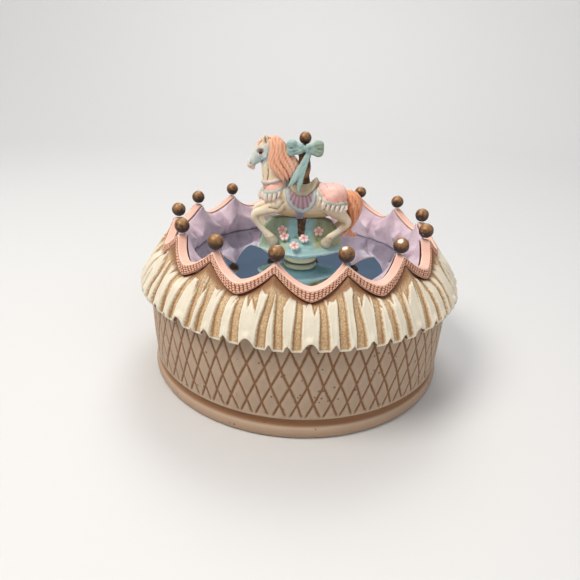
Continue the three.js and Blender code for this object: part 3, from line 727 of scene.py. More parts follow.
channels = 60
places = (np.arange(channels) + rng.uniform(-0.22, 0.22, channels)) * TURN * REACH / channels
skipped = set(rng.choice(channels, 2, replace=False).tolist())
for k, place_mm in enumerate(places):
    if k in skipped:
        continue
    lean, bend, phase = rng.uniform(-0.1, 0.1), rng.uniform(0.1, 0.35), rng.uniform(0, TURN)
    reach = rng.choice([rng.uniform(7, 10.5), rng.uniform(15, 17), 24.0], p=[0.2, 0.15, 0.65])
    wide = rng.uniform(1.25, 1.7)
    narrow = rng.uniform(0.5, 0.8) if reach < 12 else rng.uniform(0.9, 1.5)
    off = side_distance(place_mm + lean * up_hem + bend * np.sin(up_hem / 3.2 + phase))
    half = wide + (narrow - wide) * np.clip(up_hem / reach, 0, 1) ** 1.3
    over = np.maximum(up_hem - reach, 0)
    cut(np.sqrt(off**2 + (over * 0.8) ** 2) - half)
for k in range(2 * channels):
    lean, deep = rng.uniform(-0.3, 0.3), rng.uniform(9.6, 14.6)
    place_mm = (k + 0.5 + rng.uniform(-0.3, 0.3)) * TURN * REACH / (2 * channels)
    off = side_distance(place_mm + lean * (up_hem - deep))
    opening = rng.uniform(0.1, 0.3) * (up_hem - deep)
    cut((np.abs(off) - opening) * np.cos(np.arctan(0.35)))
shoulder = 15.2 + 2.4 * w + 1.1 * np.sin(angle * 37) + 0.7 * np.sin(angle * 83 + 1)
cut(shoulder - up_hem)
edge = edge + 0.12 * np.sin(angle * 411 + up_hem * 1.9) * np.sin(angle * 173 - up_hem * 2.3)
print("skirt pattern:", channels - len(skipped), "channels, share of cream", round(float((edge > 0).mean()), 2))

# %% Skirt mesh
cream = smoothstep(-0.35, 0.3, edge)
full = smoothstep(0.3, 4.5, travel)  # folds grow from nothing under the band
lip = np.exp(-(((edge - 0.4) / 0.4) ** 2))
crown = 1 - np.exp(-np.maximum(edge, 0) / 1.6)
rise = full * (1.15 * cream + 0.22 * lip + 0.25 * crown * cream) - 0.75 * full
slow = 0.5 * np.sin(9 * angle + 1.0) + 0.4 * np.sin(17 * angle + 2.2)
flare = smoothstep(0, 1, travel / total)
outward = rise * (0.45 + 0.75 * flare) + 0.45 * slow * flare**2
tilt_r = np.gradient(skirt_r, axis=1)
tilt_z = np.gradient(skirt_z, axis=1)
size = np.hypot(tilt_r, tilt_z)
outer_r = skirt_r + outward * -tilt_z / size
outer_z = skirt_z + outward * tilt_r / size
near_hem = smoothstep(5.0, 0, up_hem)
outer_z = outer_z + near_hem**1.3 * (3.0 * np.minimum(crown, 0.75) / 0.75 * cream - 1.2 + 0.4 * slow)
outer_r = outer_r + 0.25 * near_hem**3 * (1 - cream)
thick = 0.95
inner_r = np.maximum(outer_r + thick * tilt_z / size, 61.95 - 0.02 * (outer_z - 38))
inner_z = outer_z - thick * tilt_r / size
inner_r = np.where(outer_z > 41, np.minimum(inner_r, outer_r - 0.45), inner_r)
hem_r, hem_z = outer_r[:, -1:], outer_z[:, -1:]
lip_r = [hem_r - 0.12, hem_r - 0.5, hem_r - 0.85]
lip_z = [hem_z - 0.32, hem_z - 0.45, hem_z - 0.25]
back = np.arange(SKIRT_ROWS - 2, SKIRT_ROWS - 16, -3)
section_r = np.concatenate([outer_r, *lip_r, inner_r[:, back], np.full_like(top, 59.6), np.full_like(top, 52.0)], 1)
section_z = np.concatenate([outer_z, *lip_z, inner_z[:, back], np.full_like(top, 45.4), np.full_like(top, 47.8)], 1)
skirt = ring_piece("frilled_skirt", around(section_r, angle, section_z))
save_hollows(skirt, 8, 0.22)
mask = skirt.data.attributes["hollow"].data
hollow = np.zeros(len(skirt.data.vertices), np.float32)
mask.foreach_get("value", hollow)
hollow = hollow.reshape(SKIRT_COLUMNS, -1)  # the long faces behind the top edge would read as proud
front = hollow[:, :SKIRT_ROWS]
# just under the band the hollow mask is kept at 0.35 or more, so no dry-brush highlight shows and the wash darkens it:
# painted shade
front[:] = np.where(travel < 3.5, np.maximum(front, 0.35), front)
hollow[:, SKIRT_ROWS + 3:] = 0.5
mask.foreach_set("value", hollow.ravel())
extra = section_r.shape[1] - SKIRT_ROWS
hem_edge = np.where(up_hem < 0.55, np.maximum(edge, 0.5 - up_hem), edge)
pattern = np.concatenate([hem_edge, np.full((SKIRT_COLUMNS, extra), 1.0)], 1)
pattern[:, SKIRT_ROWS + 3:] = -2.0
# painted shadow: dark brown just under the band and on the hidden back faces
shadow = np.zeros(pattern.shape)
shadow[:, :SKIRT_ROWS] = smoothstep(4.0, 0.9, travel - 1.2)
shadow[:, SKIRT_ROWS + 2:] = 1.0
save_value(skirt, "fold_edge", pattern.ravel())
save_value(skirt, "painted_shadow", shadow.ravel())
print("skirt reaches", round(float(section_r.max()), 1), "mm out and", round(float(section_z.min()), 1), "mm down")

# %% [markdown]
# The skirt's colour compares the saved distance with zero, after noise has moved it a little, so the
# cream paint ends in the ragged edge that a dry brush leaves. The channels are speckled tan, and a
# painted shadow darkens the cloth just under the band.

# %% Skirt finish
skirt_finish, tree, shader = new_material("cream_over_tan_resin")
place = object_place(tree)
edge_now = attribute_node(tree, "fold_edge")
ragged = noise_node(tree, place, 1500.0, 4.0)
edge_now = sum_node(tree, "ADD", edge_now, sum_node(tree, "MULTIPLY_ADD", ragged, 0.9, -0.45))
is_cream = range_node(tree, edge_now, -0.12, 0.22)
rim_line = range_node(tree, sum_node(tree, "ABSOLUTE", sum_node(tree, "ADD", edge_now, 0.3)), 0.3, 0.0)
speckle = range_node(tree, noise_node(tree, place, 2300.0, 2.0), 0.42, 0.62)
colour = blend_node(tree, speckle, (192, 158, 116), (222, 196, 156))
colour = blend_node(tree, scaled_node(tree, rim_line, 0.55), colour, (134, 92, 55))
colour = blend_node(tree, is_cream, colour, (230, 219, 196))
# the painted shadow under the band and on the back faces
colour = blend_node(tree, scaled_node(tree, attribute_node(tree, "painted_shadow"), 0.85), colour, (124, 74, 46))
out = use_group(
    tree, resin, Paint=colour, Hollow=attribute_node(tree, "hollow"), Wash=(168, 122, 80), Highlight=(243, 235, 216),
    Wash_Strength=0.55, Brush_Strength=0.35, Grain=1300.0,
)
show(tree, shader, out["Colour"], out["Roughness"], out["Height"], 0.14, 0.6, gloss=0.3)
dress(skirt, skirt_finish, "base", "ruffle_resin", "ruffle_skirt")

# %% [markdown]
# ## The brick-weave band
# The band is a swept ring with rounded corners. Its outer face carries courses of little raised
# bricks that follow the scallops. Geometry Nodes suit this: points along the band carry each brick's
# turn and size, and one low brick is placed on all of them, made real and painted.

# %% Band body
BAND_COLUMNS = 896
angle = np.arange(BAND_COLUMNS)[:, None] * TURN / BAND_COLUMNS
w = near_post(angle)
w = (w + np.roll(w, 1, 0) + np.roll(w, -1, 0)) / 3
inner, top, low = band_inner(w), band_top(w), band_low(w)
corners = [(inner, top, 0.55), (inner + 3.4, top - 0.2, 0.6), (inner + 4.1, low, 0.5), (inner + 0.5, low + 0.1, 0.4)]
section_r, section_z = [], []
for k, (r, z, soft) in enumerate(corners):
    (r0, z0, _), (r2, z2, _) = corners[k - 1], corners[(k + 1) % 4]
    l0, l2 = np.hypot(r0 - r, z0 - z), np.hypot(r2 - r, z2 - z)
    for t in np.linspace(0, 1, 5):
        a, b = soft * (1 - t) ** 2, soft * t**2
        section_r.append(r + (r0 - r) / l0 * a + (r2 - r) / l2 * b)
        section_z.append(z + (z0 - z) / l0 * a + (z2 - z) / l2 * b)
    for t in (0.25, 0.5, 0.75):
        section_r.append(r + (r2 - r) * t)
        section_z.append(z + (z2 - z) * t)
section_r, section_z = np.concatenate(section_r, 1), np.concatenate(section_z, 1)
uneven = ripple(around(section_r, angle, section_z), 7, 5)
section_r = section_r + 0.09 * uneven
section_z = section_z + 0.07 * uneven
band = ring_piece("rim_band", around(section_r, angle, section_z))
save_hollows(band, 6, 0.12)
face_share = np.zeros(section_r.shape)
face_share[:, 12:18] = [0.7, 1, 1, 1, 1, 0.6]
# painted highlight: lighter paint on the two rounded top edges of the band, where light falls from above
painted_top_highlight = np.zeros(section_r.shape)
painted_top_highlight[:, [2, 3, 4, 9, 10, 11]] = [1, 0.7, 0.3, 0.3, 0.7, 1]
shades = coats(shade(241, 190, 168), ((247, 210, 190), painted_top_highlight * 0.8), ((158, 98, 68), face_share))
save_tint(band, shades.reshape(-1, 3))
print("band section:", section_r.shape[1], "points")

# %% Brick points along the band
COURSES = 4
fine = np.linspace(0, TURN, 5601)
w = near_post(fine)
w = np.convolve(np.pad(w, 12, mode="wrap"), np.ones(25) / 25, "valid")
spots, turns, sizes = [], [], []
rng = np.random.default_rng(5)
for course in range(COURSES):
    f = 0.13 + 0.78 * (course + 0.5) / COURSES
    r = band_inner(w) + 4.1 - 0.7 * f
    z = band_low(w) + f * (band_top(w) - 0.2 - band_low(w))
    path = around(r, fine, z)
    run = np.concatenate([[0], np.cumsum(np.linalg.norm(np.diff(path, axis=0), axis=1))])
    count = int(run[-1] / 1.36)
    centres = (np.arange(count) + 0.5 * (course % 2) + rng.uniform(-0.08, 0.08, count)) * run[-1] / count % run[-1]
    at, ahead, behind = (
        np.stack([np.interp(where, run, path[:, k]) for k in range(3)], 1)
        for where in (centres, (centres + 0.3) % run[-1], (centres - 0.3) % run[-1])
    )
    along_band = ahead - behind
    along_band /= np.linalg.norm(along_band, axis=1)[:, None]
    turn = np.arctan2(at[:, 1], at[:, 0])
    out = around(np.full(count, 4.2), turn, np.full(count, 0.72))
    out -= np.einsum("ij,ij->i", out, along_band)[:, None] * along_band
    out /= np.linalg.norm(out, axis=1)[:, None]
    upward = np.cross(out, along_band)
    wp = np.interp(turn % TURN, fine, w)
    slope = np.abs(along_band[:, 2])
    room = 0.78 * (band_top(wp) - band_low(wp) - 0.2) / COURSES * np.sqrt(1 - slope**2)
    for k in range(count):
        axes = Matrix((along_band[k], upward[k], out[k])).transposed()
        spots.append(at[k] + 0.02 * out[k])
        turns.append(tuple(axes.to_euler()))
        long = run[-1] / count * rng.uniform(0.76, 0.84)
        sizes.append((long, max(room[k] * 0.84, 0.42), rng.uniform(0.26, 0.34)))
print("bricks:", len(spots))

# %% One brick, and the tree that lays them
levels = [(-0.5, 1.0), (0.55, 1.0), (0.85, 0.86), (1.0, 0.6)]
outline = [
    (-0.5, -0.36), (-0.36, -0.5), (0.36, -0.5), (0.5, -0.36), (0.5, 0.36), (0.36, 0.5), (-0.36, 0.5), (-0.5, 0.36),
]
brick_points = [(x * s, y * s, z) for z, s in levels for x, y in outline]
brick_faces = [
    (8 * row + k, 8 * row + (k + 1) % 8, 8 * row + 8 + (k + 1) % 8, 8 * row + 8 + k)
    for row in range(3) for k in range(8)
]
brick_faces += [tuple(range(24, 32)), tuple(range(7, -1, -1))]
brick_mesh = bpy.data.meshes.new("brick")
brick_mesh.from_pydata(brick_points, [], brick_faces)
brick = bpy.data.objects.new("brick", brick_mesh)
scene.collection.objects.link(brick)


def instance_tree(name, material):
    """Places one piece on every point, turned and sized by the point's attributes."""
    tree = bpy.data.node_groups.new(name, "GeometryNodeTree")
    tree.interface.new_socket("Points", in_out="INPUT", socket_type="NodeSocketGeometry")
    piece_in = tree.interface.new_socket("Piece", in_out="INPUT", socket_type="NodeSocketObject")
    scale_in = tree.interface.new_socket("Scale", in_out="INPUT", socket_type="NodeSocketFloat")
    tree.interface.new_socket("Mesh", in_out="OUTPUT", socket_type="NodeSocketGeometry")
    start, end = tree.nodes.new("NodeGroupInput"), tree.nodes.new("NodeGroupOutput")
    put = tree.nodes.new("GeometryNodeInstanceOnPoints")
    info = tree.nodes.new("GeometryNodeObjectInfo")
    turn = tree.nodes.new("GeometryNodeInputNamedAttribute")
    size = tree.nodes.new("GeometryNodeInputNamedAttribute")
    turn.data_type = size.data_type = "FLOAT_VECTOR"
    turn.inputs["Name"].default_value, size.inputs["Name"].default_value = "turn", "size"
    scaled = tree.nodes.new("ShaderNodeVectorMath")
    scaled.operation = "SCALE"
    real = tree.nodes.new("GeometryNodeRealizeInstances")
    finish = tree.nodes.new("GeometryNodeSetMaterial")
    finish.inputs["Material"].default_value = material
    link = tree.links.new
    link(start.outputs["Points"], put.inputs["Points"])
    link(start.outputs["Piece"], info.inputs["Object"])
    link(info.outputs["Geometry"], put.inputs["Instance"])
    link(turn.outputs["Attribute"], put.inputs["Rotation"])
    link(size.outputs["Attribute"], scaled.inputs[0])
    link(start.outputs["Scale"], scaled.inputs["Scale"])
    link(scaled.outputs[0], put.inputs["Scale"])
    link(put.outputs["Instances"], real.inputs[0])
    link(real.outputs[0], finish.inputs["Geometry"])
    link(finish.outputs[0], end.inputs[0])
    return tree, piece_in.identifier, scale_in.identifier


def lay(name, places, part, material):
    """Lays a part on every place, given as spots, turns and sizes, and returns one plain mesh."""
    spots, turns, sizes = places
    cloud = bpy.data.meshes.new(name + "_points")
    cloud.from_pydata((np.array(spots) * MM).tolist(), [], [])
    for label, values in (("turn", turns), ("size", np.array(sizes) * MM)):
        attribute = cloud.attributes.new(label, "FLOAT_VECTOR", "POINT")
        attribute.data.foreach_set("vector", np.array(values, np.float32).ravel())
    holder = bpy.data.objects.new(name + "_places", cloud)
    scene.collection.objects.link(holder)
    tree, part_socket, scale_socket = instance_tree(name + "_tree", material)
    modifier = holder.modifiers.new("lay", "NODES")
    modifier.node_group = tree
    modifier[part_socket], modifier[scale_socket] = part, 1.0
    made = applied(holder, name)
    bpy.data.objects.remove(part)
    return made


brick_finish = painted("salmon_brick_resin", (240, 186, 156), (166, 102, 70), (250, 208, 188), 0.9, 0.45, 1500.0)
weave = lay("brick_weave", (spots, turns, sizes), brick, brick_finish)
rng = np.random.default_rng(9)
of_brick = np.arange(len(weave.data.vertices)) // len(brick_points)
level = np.arange(len(weave.data.vertices)) % len(brick_points) // 8
by_level = np.array([1.0, 0.75, 0.05, -0.6])
save_value(weave, "hollow", by_level[level] + rng.uniform(-0.25, 0.25, len(spots))[of_brick])
dress(weave, brick_finish, "base", "rim_resin")
band_finish = painted("salmon_rim_resin", None, (176, 112, 82), (252, 222, 204), 0.45, 0.5, 900.0)
dress(band, band_finish, "base", "rim_resin", "scalloped_rim")

# %% [markdown]
# ## Gold balls
# Fourteen cast balls sit on the posts. Each one is a sphere from rings, made a little uneven with
# its own seed. The gold is dabbed on over dark brown. A painted highlight makes it brighter towards the
# top and painted shade darkens the lower half, which on one ball is also its own dark paint. A few balls
# have lost a chip that shows the white resin.

# %% Balls
ball_finish, tree, shader = new_material("dabbed_gold_paint")
place = object_place(tree)
dab = noise_node(tree, place, 900.0, 5.0)
# the gold brightens towards the top: a painted highlight
bright = sum_node(tree, "ADD", attribute_node(tree, "gold"), sum_node(tree, "MULTIPLY_ADD", dab, 1.1, -0.55))
bright = range_node(tree, bright, 0.35, 0.95)
colour = blend_node(tree, bright, (70, 46, 30), (158, 116, 74))
# the dark lower half: painted shade, and on one ball also its own dark paint
colour = blend_node(tree, attribute_node(tree, "dark_paint_and_shade"), colour, (50, 31, 22))
chip = range_node(tree, attribute_node(tree, "chip"), 0.45, 0.55)
colour = blend_node(tree, chip, colour, (226, 218, 208))
shine = sum_node(tree, "MULTIPLY_ADD", bright, 0.3, 0.12)
wire(tree, sum_node(tree, "MULTIPLY", sum_node(tree, "SUBTRACT", 1.0, chip), shine), shader.inputs["Metallic"])
show(tree, shader, colour, range_node(tree, dab, 0.3, 0.7, 0.36, 0.55), dab, 0.12)

chips = {1: (0.1, 0.2, 0.97), 2: (-0.35, -0.2, 0.9), 3: (-0.3, -0.5, 0.8), 7: (0.3, 0.4, 0.86)}
BALL, DARK_BALL = 2.75, 1
for k in range(POSTS):
    low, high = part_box(f"rim_ball_{k + 1:02d}")
    middle = np.array([(low.x + high.x) / 2, (low.y + high.y) / 2, 0.0635]) / MM
    unit = ball_points(44, 25)
    grown = unit * (2.72 + 0.1 * ripple(unit * BALL + 10 * k, 2.6, 100 + k))[:, None]
    grown[:, 2] = np.maximum(grown[:, 2], -3.1)
    ball = weld(make_mesh(f"gold_ball_{k + 1:02d}", grown + middle, grid_faces(44, 25)))
    unit = (points_of(ball) - middle) / BALL
    dark_from = -0.1 if k == DARK_BALL else -0.36
    # painted highlight: gold brighter towards the top; painted shade: a dark lower half, reaching higher on DARK_BALL,
    # whose dark half is also its own paint
    save_value(ball, "gold", np.clip(0.5 + 0.55 * unit[:, 2] + 0.25 * ripple(unit * 3, 2.0, k), 0, 1))
    save_value(ball, "dark_paint_and_shade", smoothstep(0.06, dark_from, unit[:, 2] + 0.1 * ripple(unit * 3, 1.2, k + 40)))
    chip = np.zeros(len(unit))
    if k in chips:
        spot = np.array(chips[k]) / np.linalg.norm(chips[k])
        away = np.linalg.norm(unit - spot, axis=1) + 0.12 * ripple(unit * 3, 0.9, k)
        chip = smoothstep(0.42, 0.3, away)
        move_points(ball, points_of(ball) - unit * (0.18 * chip)[:, None])
    save_value(ball, "chip", chip)
    dress(ball, ball_finish, "base", "gold_resin", f"rim_ball_{k + 1:02d}")

# %% [markdown]
# ## Mirror pond
# A round mirror with a hole for the shaft. A ring profile with small bevels gives it an edge that
# catches light. The glass is slightly blue, with faint smears in its roughness.

# %% Mirror
low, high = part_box("mirror_disc")
edge_r, bottom, top = high.x / MM, low.z / MM, high.z / MM
profile = [
    (3.2, bottom), (edge_r, bottom), (edge_r, top - 0.3), (edge_r - 0.3, top), (30, top), (10, top), (3.5, top),
    (3.2, top - 0.3),
]
mirror = ring_piece("mirror_disc_glass", lathe(profile, 180))
mirror.data.set_sharp_from_angle(angle=math.radians(30))
mirror_finish, tree, shader = new_material("blue_grey_mirror")
smear = noise_node(tree, object_place(tree), 60.0, 5.0)
colour = blend_node(tree, range_node(tree, smear, 0.35, 0.75), (214, 222, 230), (200, 208, 216))
shader.inputs["Metallic"].default_value = 1.0
show(tree, shader, colour, range_node(tree, smear, 0.45, 0.75, 0.015, 0.075))
dress(mirror, mirror_finish, "base", "mirror_glass", "mirror_disc")

# %% [markdown]
# ## Satin ribbon
# A sheer lilac ribbon stands round the pond. It is caught behind each post and falls in flat kite
# shapes to the mirror, where its edge folds inward. A cloth simulation would lose these crisp glued
# folds, so the sheet is built from folded facets, then given fine diagonal creases and a slight sag.

# %% Ribbon
RIBBON_COLUMNS = 1120
angle = np.arange(RIBBON_COLUMNS)[:, None] * TURN / RIBBON_COLUMNS
w = near_post(angle)
post = (angle - FIRST_POST) * POSTS / TURN
nearest_post = np.round(post).astype(int) % POSTS
side_sign = np.where(post - np.round(post) < 0, 0, 1)
rng = np.random.default_rng(14)
side_w = rng.uniform(0.1, 0.38, (POSTS, 2))[nearest_post, side_sign]
reach_in = rng.uniform(2.2, 3.6, (POSTS, 2))[nearest_post, side_sign]
pinch = rng.uniform(-0.5, 0.5, POSTS)[nearest_post]
kite = np.clip((w - side_w) / (1 - side_w), 0, 1)  # 1 on the post, 0 at the side of its kite
on_kite = smoothstep(side_w - 0.012, side_w + 0.012, w)
stations = [  # radius and height, from the top edge down to the mirror
    (band_inner(w) - 0.5, band_top(w) - 0.7),
    (48.15 - 0.25 * w - on_kite * reach_in * 0.45 * (1 - kite), 49.95 + 8.0 * w**1.6),
    (47.2 + pinch * 0.3 - on_kite * reach_in * (1.2 - 0.9 * kite), 47.6 + 3.4 * kite + 1.0 * on_kite),
    (46.9 - 1.0 * on_kite * (1 - kite) + 0.3 * kite, 45.3 + 0.8 * kite),
    (47.4 - on_kite * 0.9 * (1 - kite), 43.09 + 0 * w),
]
fall = np.concatenate([np.linspace(k, k + 1, n, endpoint=False) for k, n in enumerate((3, 5, 4, 3))] + [[4]])
weights = [np.maximum(1 - np.abs(fall - k), 0)[None, :] for k in range(len(stations))]
r, z = (sum(share * (station[axis] + 0 * angle) for share, station in zip(weights, stations)) for axis in (0, 1))
envelope = np.sin(math.pi * np.clip(fall / 4, 0, 1))[None, :] ** 0.8
diagonal = np.abs((post * 2.0 + 0.28 * fall[None, :] * np.sign(pinch) + 0.5) % 1 - 0.5) * 2
r = r + 0.4 * (diagonal - 0.5) * envelope + 0.12 * ripple(around(48, angle, z * 1.5), 6, 8) * envelope
r = np.where(z < 49.6, np.minimum(r, 48.1), r)
fall = fall / 4
outer = around(r, angle, z)
inner_side = around(r - 0.16, angle, z)
ribbon = ring_piece("satin_ribbon", np.concatenate([outer, inner_side[:, ::-1]], 1))
step = np.linalg.norm(np.roll(outer, -1, 0) - outer, axis=2)
save_value(ribbon, "along", np.tile(np.concatenate([fall, fall[::-1]]), RIBBON_COLUMNS))
ribbon_finish, tree, shader = new_material("sheer_lilac_satin")
place = object_place(tree)
weave_threads = tree.nodes.new("ShaderNodeTexWave")
weave_threads.bands_direction = "Z"
for label, value in (("Scale", 900.0), ("Distortion", 1.2), ("Detail", 2.0)):
    weave_threads.inputs[label].default_value = value
wire(tree, place, weave_threads.inputs["Vector"])
cloudy = noise_node(tree, place, 260.0, 3.0)
threads = weave_threads.outputs["Fac"]
colour = blend_node(tree, range_node(tree, cloudy, 0.35, 0.7), (222, 196, 204), (194, 164, 176))
colour = blend_node(tree, scaled_node(tree, threads, 0.25), colour, (236, 218, 226))
show(tree, shader, colour, range_node(tree, cloudy, 0.3, 0.7, 0.32, 0.5), threads, 0.03, 0.4)
shader.inputs["Sheen Weight"].default_value = 0.5
shader.inputs["Sheen Roughness"].default_value = 0.35
shader.inputs["Anisotropic"].default_value = 0.4
wire(tree, range_node(tree, cloudy, 0.3, 0.75, 0.9, 0.97), shader.inputs["Alpha"])
dress(ribbon, ribbon_finish, "base", "ribbon_satin", "ribbon")

# %% [markdown]
# ## The turntable and the mound
# The figure turns on a cream disc. Above it stands a small mound, teal in the middle and moss green
# at the sides, with a low bank behind the pole. A disc comes from a lathe. The mound is a height
# field over an oval, remeshed so that its steep bank has even faces for the brush marks.

# %% Turntable disc
low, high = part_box("turntable_disc")
bottom, top, rim_r = low.z / MM, high.z / MM, high.x / MM
profile = [
    (2.3, bottom), (rim_r - 0.6, bottom), (rim_r - 0.15, bottom + 0.25), (rim_r, bottom + 0.8),
    (rim_r + 0.02, bottom + 1.1), (rim_r, bottom + 1.5), (rim_r - 0.1, top - 0.35), (rim_r - 0.5, top), (2.3, top),
]
disc = ring_piece("cream_disc", lathe(profile, 96))
save_hollows(disc, 4, 0.15)
# the cream-yellow is set lighter than the disc's own paint, so it still looks bright in the shade under the mound:
# painted light
disc_finish = painted("cream_yellow_resin", (248, 242, 190), (170, 150, 100), (246, 243, 214), 0.6)
dress(disc, disc_finish, "turntable", "disc_resin", "turntable_disc")


# %% Remesh helper
def sculpt(name, shapes, voxel=0.35, steps=4):
    """One body from overlapping closed shapes in millimetres: voxel remesh, then softened."""
    points = np.concatenate([shape[0] for shape in shapes])
    starts = np.cumsum([0] + [len(shape[0]) for shape in shapes])
    faces = np.concatenate([shape[1] + start for shape, start in zip(shapes, starts)])
    rough = make_mesh(name + "_rough", points, faces)
    weld(rough)
    modifier = rough.modifiers.new("voxels", "REMESH")
    modifier.mode, modifier.voxel_size = "VOXEL", voxel * MM
    piece = applied(rough, name)
    piece.data.polygons.foreach_set("use_smooth", np.ones(len(piece.data.polygons), bool))
    move_points(piece, neighbour_mean(piece, points_of(piece), steps))
    return piece


def tube(path, widths, depths, sides=20, steps=5, sideways=(0, 1, 0)):
    """A closed tube along a path. widths run along the sideways direction, depths across it."""
    path = np.asarray(path, float)
    knots = np.arange(len(path))
    t = np.linspace(0, len(path) - 1, (len(path) - 1) * steps + 1)
    padded = np.vstack([2 * path[0] - path[1], path, 2 * path[-1] - path[-2]])
    k = np.minimum(t.astype(int), len(path) - 2)
    f = (t - k)[:, None]
    p0, p1, p2, p3 = padded[k], padded[k + 1], padded[k + 2], padded[k + 3]
    line = 2 * p1 + (p2 - p0) * f + (2 * p0 - 5 * p1 + 4 * p2 - p3) * f**2 + (3 * p1 - p0 - 3 * p2 + p3) * f**3
    line = 0.5 * line
    wide, deep = np.interp(t, knots, widths), np.interp(t, knots, depths)
    ahead = np.gradient(line, axis=0)
    ahead /= np.linalg.norm(ahead, axis=1)[:, None]
    aside = np.asarray(sideways, float) - (ahead @ np.asarray(sideways, float))[:, None] * ahead
    aside /= np.linalg.norm(aside, axis=1)[:, None]
    cross = np.cross(ahead, aside)
    cap = np.array([0.0, 0.38, 0.7, 0.92])
    rise = np.sqrt(1 - cap**2)
    rings = [line[0] - ahead[0] * min(wide[0], deep[0]) * r for r in rise]
    scale = list(cap) + [1.0] * len(line) + list(cap[::-1])
    centres = np.array(rings + list(line) + [line[-1] + ahead[-1] * min(wide[-1], deep[-1]) * r for r in rise[::-1]])
    pick = np.array([0] * 4 + list(range(len(line))) + [len(line) - 1] * 4)
    scale = np.array(scale)[:, None, None]
    turn = np.arange(sides) * TURN / sides
    round_ = (np.cos(turn)[None, :, None] * aside[pick][:, None, :] * wide[pick][:, None, None]
              + np.sin(turn)[None, :, None] * cross[pick][:, None, :] * deep[pick][:, None, None])
    points = centres[:, None, :] + round_ * scale
    return points.transpose(1, 0, 2).reshape(-1, 3), grid_faces(sides, len(centres))


def limb(sections, y=0.0):
    """A tube from [x, z, half width, half depth] stations in an upright plane."""
    table = np.asarray(sections, float)
    return tube(np.stack([table[:, 0], np.full(len(table), y), table[:, 1]], 1), table[:, 2], table[:, 3])


def egg(rx, ry, rz, x, y, z, sides=24):
    return ball_points(sides, 15) * (rx, ry, rz) + (x, y, z), grid_faces(sides, 15)


def line_distance_3d(points, path):
    """Distance from each point to a broken line."""
    best = np.full(len(points), 1e9)
    for a, b in zip(np.asarray(path, float), np.asarray(path, float)[1:]):
        t = np.clip((points - a) @ (b - a) / ((b - a) @ (b - a)), 0, 1)[:, None]
        best = np.minimum(best, np.linalg.norm(points - a - t * (b - a), axis=1))
    return best


def stroke(distance, width):
    """1 on a line and fading away from it, like the stroke of a soft brush."""
    return np.exp(-((distance / width) ** 2))


# %% Mound
MOUND_LONG, MOUND_WIDE = 18.4, 10.9
turn = np.arange(144)[:, None] * TURN / 144
share = np.linspace(1, 0, 60)[None, :]
# a lens rather than an oval: long pointed sides, and a front that falls straight to the neck
across, deep = np.cos(turn), np.sin(turn)
lens = 1 / (np.abs(across) ** 1.35 + np.abs(deep) ** 1.35) ** (1 / 1.35)
x, y = MOUND_LONG * share * across * lens, MOUND_WIDE * share * deep * lens
dome = 48.2 + 5.0 * np.maximum(1 - share**2, 0) ** 0.8
bank_line = np.interp(
    x, [-17.6, -16.6, -15.6, -13, -9, 0, 9, 12.4, 15.6, 17.6], [48, 52.5, 57, 60.4, 61.2, 61.4, 61.2, 60.0, 55.5, 49]
)
bank = 48 + (bank_line - 48) * smoothstep(4.2, 2.4, np.abs(y - 1.6))
field = np.maximum(dome, bank)
field = field + 0.25 * ripple(np.stack([x, y, field], -1), 5, 61) * smoothstep(1.0, 0.85, share)
ring_in = np.array([  # half length, half width and height of the rings of the underside
    (7.3, 7.6, 45.95), (8.0, 8.9, 46.05), (9.0, 9.6, 46.6), (12.6, 10.0, 47.1), (17.2, 10.4, 47.5), (18.25, 10.75, 47.85),
])
bend = 1 + (lens - 1) * np.linspace(0, 1, 6)[None, :]
under = np.stack([ring_in[:, 0] * (across * bend), ring_in[:, 1] * (deep * bend), ring_in[:, 2] + 0 * turn], -1)
middle_low = np.broadcast_to(np.array([0, 0, 45.95]), (144, 1, 3))
mound_points = np.concatenate([middle_low, under, np.stack([x, y, field], -1)], 1)
mound = sculpt("mossy_mound", [(mound_points.reshape(-1, 3), grid_faces(144, mound_points.shape[1]))], 0.34, 3)
p = points_of(mound)
x, y, z = p.T
waves = 0.14 * np.sin(np.hypot(x / 1.4, y) * 2.1) * smoothstep(49.5, 50.5, z) * smoothstep(0.2, -2, y)
press(mound, waves + 0.12 * ripple(p, 1.8, 62))
save_hollows(mound, 14, 0.3)
p = points_of(mound)
x, y, z = p.T
wobble = 1.6 * ripple(p, 6, 63)
left = smoothstep(-4.6, -7.2, x + wobble)
right = smoothstep(3.2, 6.6, x + wobble)
near_edge = smoothstep(0.9, 0.97, np.abs(x / MOUND_LONG) ** 1.35 + np.abs(y / MOUND_WIDE) ** 1.35)
shades = coats(
    two_tone((146, 190, 190), (170, 206, 202), 0.5 + 0.5 * ripple(p, 4, 64)),
    # green on the left and olive on the right, set lighter than their paint to make up for the horse's shadow: partly
    # painted light
    ((166, 184, 156), left), ((168, 172, 132), right * smoothstep(49, 51, z)),
    # darker olive high on the bank's sides, under the horse's belly: painted shade
    ((140, 150, 116), smoothstep(55, 60, z) * np.maximum(left, right) * 0.5),
    ((196, 222, 214), smoothstep(0.7, 0.2, np.abs(z - 48.3)) * near_edge * 0.9),
    ((160, 204, 198), smoothstep(47.6, 46.6, z) * 0.7),
)
save_tint(mound, shades)
mound_finish = painted("teal_moss_resin", None, (98, 104, 70), (206, 228, 216), 0.75, 0.4, 700.0, 0.2)
dress(mound, mound_finish, "turntable", "mound_resin", "mound")

# %% [markdown]
# ## The horse
# A carousel horse is mostly tubes and eggs: barrel, neck, head and bent legs. Each is a loft of
# ovals along a path. The voxel remesh joins them without seams, softening rounds the joins, and then
# points are pressed along their normals to cut the eye sockets, nostrils, mouth and muscle lines.

